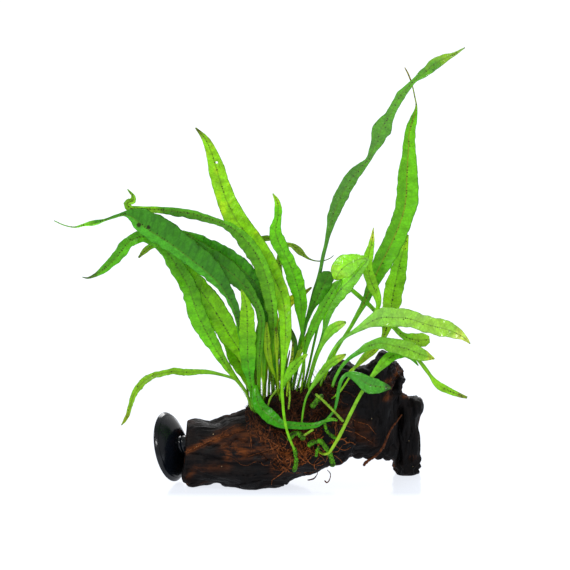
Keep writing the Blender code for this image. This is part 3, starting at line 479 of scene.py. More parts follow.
def woodMaterial():
    # waterlogged hardwood: nearly black, half matt and damp, with rust-brown tannin stains
    material, add = newMaterial("waterlogged driftwood")
    place = add("TexCoord", out=3)
    xyz = add("SeparateXYZ", place)
    leaning = add("Math", xyz.node.outputs[2], 0.25, xyz, operation="MULTIPLY_ADD")
    low, high = woodForm["grainTurns"]
    leg = add("MapRange", leaning, low * mm, high * mm, interpolation_type="SMOOTHSTEP")
    # streaks about 1 mm across and 12 mm long, lying in the trunk and upright in the leg
    streaks = []
    for squeeze in ((90.0, 700.0, 700.0), (700.0, 700.0, 90.0)):
        squeezed = add("Mapping", {"Vector": place, "Scale": squeeze})
        streaks.append(add("TexNoise", {"Vector": squeezed, "Scale": 1.0, "Detail": 5.0, "Roughness": 0.62}))
    streak = add("Mix", {0: leg, 2: streaks[0], 3: streaks[1]}, data_type="FLOAT")
    broad = add("TexNoise", {"Vector": place, "Scale": 110.0, "Detail": 4.0, "Roughness": 0.6})
    fine = add("TexNoise", {"Vector": place, "Scale": 1400.0, "Detail": 3.0, "Roughness": 0.6})
    worn = add("Math", streak, broad, operation="MULTIPLY")
    worn = add("MapRange", worn, 0.22, 0.42)
    colour = add("Mix", {0: worn, 6: woodColours["dark"], 7: woodColours["worn"]}, out=2, data_type="RGBA")
    stain = add("Attribute", out=2, attribute_name="stain")
    patchy = add("Math", fine, 0.6, streak, operation="MULTIPLY_ADD")
    patchy = add("Math", broad, patchy, operation="ADD")
    grain = add("MapRange", patchy, 1.12, 1.45, 0.0, 1.4)
    stained = add("Math", stain, grain, operation="MULTIPLY", use_clamp=True)
    stainColour = add("Mix", {0: streak, 6: woodColours["deepStain"], 7: woodColours["stain"]}, out=2,
                      data_type="RGBA")
    # pale grains of sand caught in the pores
    sand = add("TexVoronoi", {"Vector": place, "Scale": 420.0})
    sandPick = add("SeparateXYZ", sand.node.outputs["Color"])
    chosen = add("Math", sandPick, 0.03, operation="LESS_THAN")
    near = add("Math", sand, 0.13, operation="LESS_THAN")
    sandy = add("Math", chosen, near, operation="MULTIPLY")
    for share, laid in ((stained, stainColour), (sandy, woodColours["sand"])):
        colour = add("Mix", {0: share, 6: colour, 7: laid}, out=2, data_type="RGBA")
    gloss = add("MapRange", broad, 0.3, 0.7, 0.42, 0.78)
    relief = add("Math", fine, 0.4, streak, operation="MULTIPLY_ADD")
    bump = add("Bump", {"Height": relief, "Strength": 0.8, "Distance": 0.0006})
    shader = add("BsdfPrincipled", {"Base Color": colour, "Roughness": gloss, "IOR": 1.33,
                                    "Specular IOR Level": 0.2, "Normal": bump})
    add("OutputMaterial", {"Surface": shader})
    return material


def addDriftwood():
    mesh = driftwoodForm()
    weather(mesh)
    mesh.name = "driftwood"
    mesh.shade_smooth()
    print("driftwood", len(mesh.polygons))
    return newPiece("driftwood", mesh, [woodMaterial()],
                    ("driftwood_trunk", "driftwood_crag", "driftwood_leg"))


driftwood = addDriftwood()

# The mat over these of the trunk's sections: x, first and last degree round the trunk, and thickness.
matSections = (
    (-10.0, 54, 112, 2.4),
    (-3.0, 10, 132, 4.0),
    (5.0, -20, 140, 7.0),
    (13.0, -45, 142, 7.2),
    (21.0, -50, 142, 6.0),
    (28.0, -50, 142, 5.4),
    (34.0, -50, 110, 4.0),
    (39.0, -45, 80, 3.0),
    (44.0, -25, 50, 2.4),
)
matForm = {
    "points": 44,  # round the outer side of each section
    "step": 0.9,
    "root": 3.0,  # how deep its edges start under the wood's surface
    "crown": 2.2,  # how much thicker it is on top, at crownAt, and how far that reaches along it
    "crownAt": 20,
    "crownReach": 13,
    "lumps": 1.5,
    "area": 0.0062,  # square metres
    "colours": ("#070403", "#2A140A"),  # painted shade between the threads, and the threads
    "fineColours": ("#140804", "#8A4A1E"),
    "fineRoots": 3600,
    "fineLength": 0.011,
    "fineRadius": 0.00013,
    "seed": 4,
}


def matMesh():
    # a lumpy saddle over the wood, as its solid has it
    rings = []
    for x in stepped(matSections[0][0], matSections[-1][0], matForm["step"]):
        _, first, last, thickness = between(matSections, x)
        section = between(trunkSolved, x)
        crown = matForm["crown"] * math.exp(-((x - matForm["crownAt"]) / matForm["crownReach"]) ** 2)
        outer, inner = [], []
        for i in range(matForm["points"]):
            share = i / (matForm["points"] - 1)
            angle = math.radians(first + (last - first) * share)
            onTop = max(0.0, math.sin(angle))
            swell = math.sin(math.pi * share) ** 0.5 * (0.6 + 0.4 * onTop ** 2)
            uneven = 1 + 0.12 * math.sin(2.3 * share * 15 + 0.9 * x)
            grown = (thickness + matForm["root"]) * swell * uneven - matForm["root"] + crown * onTop ** 3
            point = woodPoint(section, angle, grown)
            lump = noise.noise(point / mm / 5.5) + 0.6 * noise.noise(point / mm / 2.2)
            grown += matForm["lumps"] * lump * math.sin(math.pi * share)
            outer.append(woodPoint(section, angle, grown))
            inner.append(woodPoint(section, angle, -2 * matForm["root"]))
        rings.append(outer + inner[::-1])
    return loftMesh("root mat", rings)


def fibreMaterial(name, colours, scale):
    # matted fern roots: rust-brown threads with painted shade in the gaps between them, dull and damp
    material, add = newMaterial(name)
    place = add("TexCoord", out=3)
    bent = add("TexNoise", {"Vector": place, "Scale": scale * 0.25, "Detail": 2.0}, out=1)
    warped = add("VectorMath", bent, (0.004, 0.004, 0.004), place, operation="MULTIPLY_ADD")
    threads = add("TexVoronoi", {"Vector": warped, "Scale": scale}, feature="DISTANCE_TO_EDGE")
    patches = add("TexNoise", {"Vector": place, "Scale": 160.0, "Detail": 3.0, "Roughness": 0.6})
    thread = add("MapRange", threads, 0.02, 0.16, 1.0, 0.0)
    # painted shade: the colour is dark between the threads and light on them
    lit = add("Math", thread, 0.55, patches, operation="MULTIPLY_ADD")
    lit = add("MapRange", lit, 0.35, 1.0)
    colour = add("Mix", {0: lit, 6: colours[0], 7: colours[1]}, out=2, data_type="RGBA")
    # painted shade: the roots are darker higher up, between the stalks; they are also darker towards the left
    # end
    at = add("SeparateXYZ", place)
    height = add("Math", patches, 0.02, at.node.outputs[2], operation="MULTIPLY_ADD")
    shade = add("MapRange", height, 0.04, 0.055, 1.1, 0.28)
    leftShade = add("MapRange", at, 0.0, 0.024, 0.5, 0.95)
    shade = add("Math", shade, leftShade, operation="MULTIPLY")
    colour = add("VectorMath", {0: colour, "Scale": shade}, operation="SCALE")
    bump = add("Bump", {"Height": thread, "Strength": 0.7, "Distance": 0.0004})
    shader = add("BsdfPrincipled", {"Base Color": colour, "Roughness": 0.85, "IOR": 1.33,
                                    "Specular IOR Level": 0.3, "Normal": bump})
    add("OutputMaterial", {"Surface": shader})
    return material


def newTree(name, numbers):
    # a Geometry Nodes tree with a geometry in and out, and named inputs for its sizes
    tree = bpy.data.node_groups.new(name, "GeometryNodeTree")
    tree.interface.new_socket("Geometry", in_out="INPUT", socket_type="NodeSocketGeometry")
    tree.interface.new_socket("Geometry", in_out="OUTPUT", socket_type="NodeSocketGeometry")
    for title, value in numbers.items():
        kind = "NodeSocketMaterial" if title == "Material" else (
            "NodeSocketInt" if isinstance(value, int) else "NodeSocketFloat")
        tree.interface.new_socket(title, in_out="INPUT", socket_type=kind)
    return tree, functools.partial(addNode, tree), tree.nodes.new("NodeGroupInput")


def grown(name, carrier, tree, numbers):
    # runs a tree on a carrier mesh and gives the result as a plain mesh
    holder = newObject(name, carrier)
    modifier = holder.modifiers.new(name, "NODES")
    modifier.node_group = tree
    for socket in tree.interface.items_tree:
        if socket.in_out == "INPUT" and socket.name in numbers:
            modifier[socket.identifier] = numbers[socket.name]
    holder.update_tag()
    mesh = appliedMesh(holder)
    mesh.name = name
    mesh.shade_smooth()
    return mesh


def addSkin(add, curves, sides, radius, material):
    # the end of each tree: a round skin over the curves, and its material
    ring = add("GeometryNodeCurvePrimitiveCircle", {"Resolution": sides, "Radius": 1.0})
    tubes = add("GeometryNodeCurveToMesh", {"Curve": curves, "Profile Curve": ring, "Scale": radius,
                                            "Fill Caps": True})
    tubes = add("GeometryNodeRealizeInstances", tubes)
    tubes = add("GeometryNodeSetMaterial", {"Geometry": tubes, "Material": material})
    add("NodeGroupOutput", tubes)


def fineRootTree(numbers):
    # short threads scattered over the mat, bent by noise and laid close over its surface
    tree, add, given = newTree("fine roots", numbers)
    surface, seed = given.outputs["Geometry"], given.outputs["Seed"]
    here = add("GeometryNodeInputPosition")
    where = add("SeparateXYZ", here)
    crowded = add("MapRange", where, -0.006, 0.016, 0.1, 1.0)
    crowded = add("Math", crowded, given.outputs["Density"], operation="MULTIPLY")
    points = add("GeometryNodeDistributePointsOnFaces", {"Mesh": surface, "Density": crowded, "Seed": seed})
    line = add("GeometryNodeCurvePrimitiveLine", {"Start": (-0.5, 0, 0), "End": (0.5, 0, 0)})
    line = add("GeometryNodeResampleCurve", {"Curve": line, "Count": 8})
    spin = add("FunctionNodeRandomValue", {2: 0.0, 3: 2 * math.pi, "Seed": seed}, out=1)
    lay = add("FunctionNodeAlignRotationToVector", {"Vector": points.node.outputs["Normal"]}, axis="Z")
    around = add("CombineXYZ", {2: spin})
    turn = add("FunctionNodeEulerToRotation", around)
    turned = add("FunctionNodeRotateRotation", lay, turn, rotation_space="LOCAL")
    size = add("FunctionNodeRandomValue", {2: 0.45, 3: 1.25, "Seed": seed}, out=1)
    size = add("Math", size, given.outputs["Length"], operation="MULTIPLY")
    threads = add("GeometryNodeInstanceOnPoints", {"Points": points, "Instance": line, "Rotation": turned,
                                                   "Scale": size})
    threads = add("GeometryNodeRealizeInstances", threads)
    wave = add("TexNoise", {"Vector": here, "Scale": 170.0, "Detail": 2.0}, out=1)
    wave = add("VectorMath", wave, (0.5, 0.5, 0.5), operation="SUBTRACT")
    wave = add("VectorMath", {0: wave, "Scale": 0.016}, operation="SCALE")
    threads = add("GeometryNodeSetPosition", {"Geometry": threads, "Offset": wave})
    near = add("GeometryNodeProximity", surface, target_element="FACES")
    away = add("VectorMath", here, near, operation="SUBTRACT")
    close = add("VectorMath", {0: away, "Scale": 0.22}, operation="SCALE")
    place = add("VectorMath", near, close, operation="ADD")
    threads = add("GeometryNodeSetPosition", {"Geometry": threads, "Position": place})
    taper = add("Math", add("GeometryNodeSplineParameter"), -0.65, 1.0, operation="MULTIPLY_ADD")
    radius = add("Math", taper, given.outputs["Radius"], operation="MULTIPLY")
    addSkin(add, threads, 3, radius, given.outputs["Material"])
    return tree


def rootTubeTree(numbers):
    # gives lines of edges the thickness stored on their points
    tree, add, given = newTree("root tubes", numbers)
    thickness = add("GeometryNodeInputNamedAttribute", {"Name": "thickness"}, data_type="FLOAT")
    curves = add("GeometryNodeMeshToCurve", {"Mesh": given.outputs["Geometry"]})
    addSkin(add, curves, given.outputs["Sides"], thickness, given.outputs["Material"])
    return tree


def crawl(grounds, point, heading, length, rng):
    # a root that creeps over the wood and the mat, turning a little at each step
    path = []
    for _ in range(int(length / rootForm["creepStep"])):
        place, normal = nearestOn(grounds, point)[:2]
        heading = (heading - normal * heading.dot(normal)).normalized()
        heading = Matrix.Rotation(rng.gauss(0, rootForm["wobble"]), 3, normal) @ heading
        path.append(place + normal * rootForm["above"])
        point = place + heading * rootForm["creepStep"]
    return path


def onFront(grounds, across, up):
    # where the viewer's line through (across, up) meets the wood or the mat, or None
    start = spot(across, up, 0) + toViewer * 0.3
    hits = [ground.ray_cast(start, -toViewer) for ground in grounds]
    hits = [hit for hit in hits if hit[0] is not None]
    return min(hits, key=lambda hit: hit[3])[0] if hits else None


# Roots that stand out on the front: thickness in millimetres, and (across, up) points.
frontRoots = (
    (0.9, ((-44.5, 23), (-40, 25), (-34, 28), (-30, 29.5), (-26, 31), (-20, 33), (-13, 35))),
    (0.6, ((-26, 31), (-22, 35), (-16, 38))),
    (0.7, ((-7, 43), (-7.6, 38), (-7.2, 33), (-7, 28), (-6.6, 23))),
    (0.6, ((-9, 41), (-9.5, 36), (-7.4, 31), (-7.8, 26))),
    (0.5, ((-3, 40), (-8, 39), (-11, 36), (-14, 37))),
    (0.8, ((15, 31), (19, 27), (20, 22), (24, 18), (27, 20))),
    (0.8, ((21, 33), (25, 27), (24, 21), (28, 16), (33, 18))),
    (0.7, ((29, 34), (31, 27), (36, 22), (35, 17), (30, 15))),
    (0.7, ((33, 31), (30, 25), (25, 23), (21, 17), (18, 14))),
    (0.6, ((38, 30), (42, 26), (46, 24), (50, 26))),
    (0.6, ((36, 24), (42, 20), (45, 17))),
    (0.6, ((20, 38), (18, 33), (14, 30), (12, 26), (8, 25))),
    (0.5, ((10, 35), (6, 31), (3, 29), (-2, 30))),
    (0.5, ((8, 27), (2, 24), (-5, 22), (-9, 20))),
    (0.6, ((40, 45), (48, 43), (54, 40), (60, 38), (64, 33))),
    (0.5, ((45, 36), (52, 34), (58, 31), (62, 28))),
    (0.6, ((78, 70), (77, 66), (72, 63), (69, 61))),
    (0.5, ((74, 62), (71, 57), (68, 52))),
)
rootForm = {
    "seed": 11,
    "matRoots": 190,
    "matLength": (0.012, 0.034),  # metres, as all lengths here
    "woodRoots": 60,  # these run further, and to the left
    "woodLength": (0.02, 0.05),
    "radius": (0.00012, 0.00045),
    "creepStep": 0.0009,
    "wobble": 0.24,
    "above": 0.00012,  # how high their middles lie
    "colours": ("#2A120A", "#96552A"),
    "hairs": 260,
    "hairLength": (0.005, 0.017),
    "hairStep": 0.0012,
    "hairRadius": 0.00011,
    "hairColours": ("#140A06", "#4A2A12"),
    "crown": (-0.008, 0.036),  # the hairs stand on the top of the mat between these
}


def frontLine(grounds, thickness, points):
    # one of the roots above, half sunk in what it lies on and thinner towards its end
    places = [onFront(grounds, a, u) for a, u in smoothPath(points, 0.9)]
    places = [place for place in places if place is not None]
    radius = thickness / 2 * mm
    line = []
    for i, place in enumerate(places):
        share = i / len(places)
        sway = Vector((wander(i, 4, radius * 9e4), 0, wander(i, 4, radius * 5e4))) * 0.3 * mm
        surface, normal = nearestOn(grounds, place + sway)[:2]
        line.append((surface + normal * radius * 0.5,
                     radius * (1 - 0.55 * share) * (1 + 0.25 * wander(i, 3, 5))))
    return line


def standingHair(rng, point):
    # a dark hair or dead stalk that stands between the leaves' feet
    heading = Vector((rng.uniform(-0.5, 0.5), rng.uniform(-0.4, 0.4), 1)).normalized()
    count = int(rng.uniform(*rootForm["hairLength"]) / rootForm["hairStep"])
    hair = []
    for k in range(count):
        hair.append((point.copy(), rootForm["hairRadius"] * (1.3 - 0.9 * k / count)))
        bend = Vector((rng.gauss(0, 0.12), rng.gauss(0, 0.12), rng.gauss(0, 0.05)))
        heading = (heading + bend).normalized()
        point += heading * rootForm["hairStep"]
    return hair


def addRoots(wood, mat):
    rng = random.Random(rootForm["seed"])
    grounds = [treeOf(wood), treeOf(mat)]
    lines = [frontLine(grounds, thickness, points) for thickness, points in frontRoots]
    matSpots = [v for v in mat.vertices if v.normal.dot(toViewer) > -0.2 or v.normal.z > 0.2]
    for i in range(rootForm["matRoots"] + rootForm["woodRoots"]):
        start = matSpots[rng.randrange(len(matSpots))].co.copy()
        away = Vector((rng.uniform(-1, 1), rng.uniform(-1, 1), rng.uniform(-1, 0.6)))
        length = rng.uniform(*rootForm["matLength"])
        if i >= rootForm["matRoots"]:
            away.x -= 0.5
            length = rng.uniform(*rootForm["woodLength"])
        radius = rng.uniform(*rootForm["radius"])
        path = crawl(grounds, start, away, length, rng)
        lift = [max(0.0, wander(k, 7, i)) * 0.0007 for k in range(len(path))]
        lines.append([(p + Vector((0, -0.4, 0.9)) * up, radius * (1 - 0.6 * k / len(path)))
                      for k, (p, up) in enumerate(zip(path, lift))])
    bark = fibreMaterial("creeping fern roots", rootForm["colours"], 500.0)
    addLines("creepingRoots", lines, 5, bark)
    low, high = rootForm["crown"]
    crown = [v for v in mat.vertices if v.normal.z > 0.55 and low < v.co.x < high]
    hairs = [standingHair(rng, crown[rng.randrange(len(crown))].co.copy()) for _ in range(rootForm["hairs"])]
    fibre = fibreMaterial("dead root hairs", rootForm["hairColours"], 500.0)
    addLines("standingHairs", hairs, 3, fibre)


def addLines(name, lines, sides, material):
    # tubes along lines of places and radii
    points = [place for line in lines for place, _ in line]
    sizes = [radius for line in lines for _, radius in line]
    edges = []
    first = 0
    for line in lines:
        edges += [(k, k + 1) for k in range(first, first + len(line) - 1)]
        first += len(line)
    carrier = bpy.data.meshes.new(name + " lines")
    carrier.from_pydata(points, edges, [])
    carrier.attributes.new("thickness", "FLOAT", "POINT").data.foreach_set("value", sizes)
    numbers = {"Sides": sides, "Material": material}
    mesh = grown(name, carrier, rootTubeTree(numbers), numbers)
    print(name, len(mesh.polygons))
    newPiece(name, mesh, [material])


def addMat():
    mesh = matMesh()
    base = fibreMaterial("matted roots", matForm["colours"], 700.0)
    numbers = {"Density": matForm["fineRoots"] / matForm["area"], "Length": matForm["fineLength"],
               "Radius": matForm["fineRadius"], "Seed": matForm["seed"],
               "Material": fibreMaterial("fine root hairs", matForm["fineColours"], 330.0)}
    threads = grown("fine roots", mesh.copy(), fineRootTree(numbers), numbers)
    print("fine roots", len(threads.polygons))
    newPiece("rootMat", mesh, [base], ("root_mat",))
    newPiece("fineRoots", threads, [numbers["Material"]])
    return mesh


rootMat = addMat()
addRoots(driftwood.data, rootMat)

# What the stalks grow out of and lie on: the wood, the mat, and the stems and roots laid so far.
gap = 0.3
wayOut = Vector((0.29, 0.17, 0.94)).normalized()
bedNodes = ("driftwood_trunk", "driftwood_crag", "driftwood_leg", "root_mat")
bedTrees = [treeOf(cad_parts[node].data) for node in bedNodes]
bedTubes = []


def isInside(tree, point):
    # whether a ray from the point leaves the closed mesh more often than it enters it
    crossings = 0
    hit = tree.ray_cast(point, wayOut)[0]
    while hit is not None:
        crossings += 1
        hit = tree.ray_cast(hit + wayOut * 1e-6, wayOut)[0]
    return crossings % 2 == 1


def roomAt(point):
    # the distance in millimetres from the point to the nearest surface, below zero inside
    least = math.inf
    for tree in bedTrees:
        distance = tree.find_nearest(point)[3] / mm
        least = min(least, -distance if isInside(tree, point) else distance)
    for radius, path in bedTubes:
        for a, b in zip(path, path[1:]):
            share = (point - a).dot(b - a) / (b - a).length_squared
            nearest = a + (b - a) * min(1.0, max(0.0, share))
            least = min(least, (point - nearest).length / mm - radius)
    return least


def broughtForward(across, up, back, need):
    # the depth, brought towards the viewer until the point has this much room
    for _ in range(12):
        room = roomAt(spot(across, up, back))
        if room >= need:
            break
        back -= need - room
    return back


tubeTable = (
    ("rhizome_front", 2.3, ((17.5, 25.6, -31), (18.3, 22, -31), (18.5, 16, -31), (17.5, 13, -30))),
    ("rhizome_hook", 2.6, (
        (26, 27.4, -30), (28, 28.8, -30), (30.5, 29.5, -30), (33, 29, -30), (35, 26.5, -30),
        (37, 23.5, -29), (38.5, 20, -28), (39.5, 16, -27))),
    ("rhizome_branch", 1.8, ((31.6, 26.2, -30), (30.5, 24, -30), (30, 21, -29.5))),
    ("rhizome_left", 3.0, ((14.8, 31, -31), (17, 33.6, -31), (20, 34, -31), (22.6, 31.6, -31))),
    ("rhizome_right", 2.0, ((35, 39, -28), (36, 35.5, -28), (38, 33, -28), (40.5, 31.5, -27), (42, 30, -27))),
    ("rhizome_top", 3.0, ((28, 49.5, -28), (30.4, 52.4, -27), (33, 55, -26))),
    ("root_woody", 1.7, (
        (79, 44, 7), (76, 40, 3), (73, 36, 0), (71, 32, -2), (69, 27, -3), (66, 22.5, -5), (63, 20, -6),
        (59, 17.5, -7), (57.5, 15.5, -7))),
    ("root_hanging_left", 0.8, ((30.8, 11.4, -15), (30.5, 10, -15), (28.5, 7.7, -15), (25.5, 7, -15))),
    ("root_hanging_right", 0.8, (
        (36.5, 12.6, -15), (38.2, 10.5, -15), (37.5, 6.8, -15), (36, 5.5, -15), (35, 6.5, -15))),
    ("stalk_broken", 1.5, ((30, 56, -29), (34, 52.5, -29), (38, 48.6, -30), (42, 44.3, -30), (45, 41, -30))),
    ("stalk_stub", 1.4, ((23.4, 33, -33), (25.6, 34.4, -33), (28, 36, -33))),
    ("stalk_bare_left", 1.1, ((2.7, 50, -22), (4, 54, -22), (6.3, 57, -21), (8.5, 60, -19))),
    ("stalk_bare_right", 1.1, ((14.3, 48, -25), (15, 55, -23), (14.6, 62, -21))),
)
underWood = ("root_hanging_left", "root_hanging_right")  # these aren't moved in front of the wood
tubePaths = {}
for tubeName, diameter, points in tubeTable:
    path = smoothPath(points, 4.0)
    if tubeName not in underWood:
        path = [(a, u, broughtForward(a, u, b, diameter / 2 + gap + 0.1)) for a, u, b in path]
    tubePaths[tubeName] = (diameter, path)
    bedTubes.append((diameter / 2, [spot(*point) for point in path]))

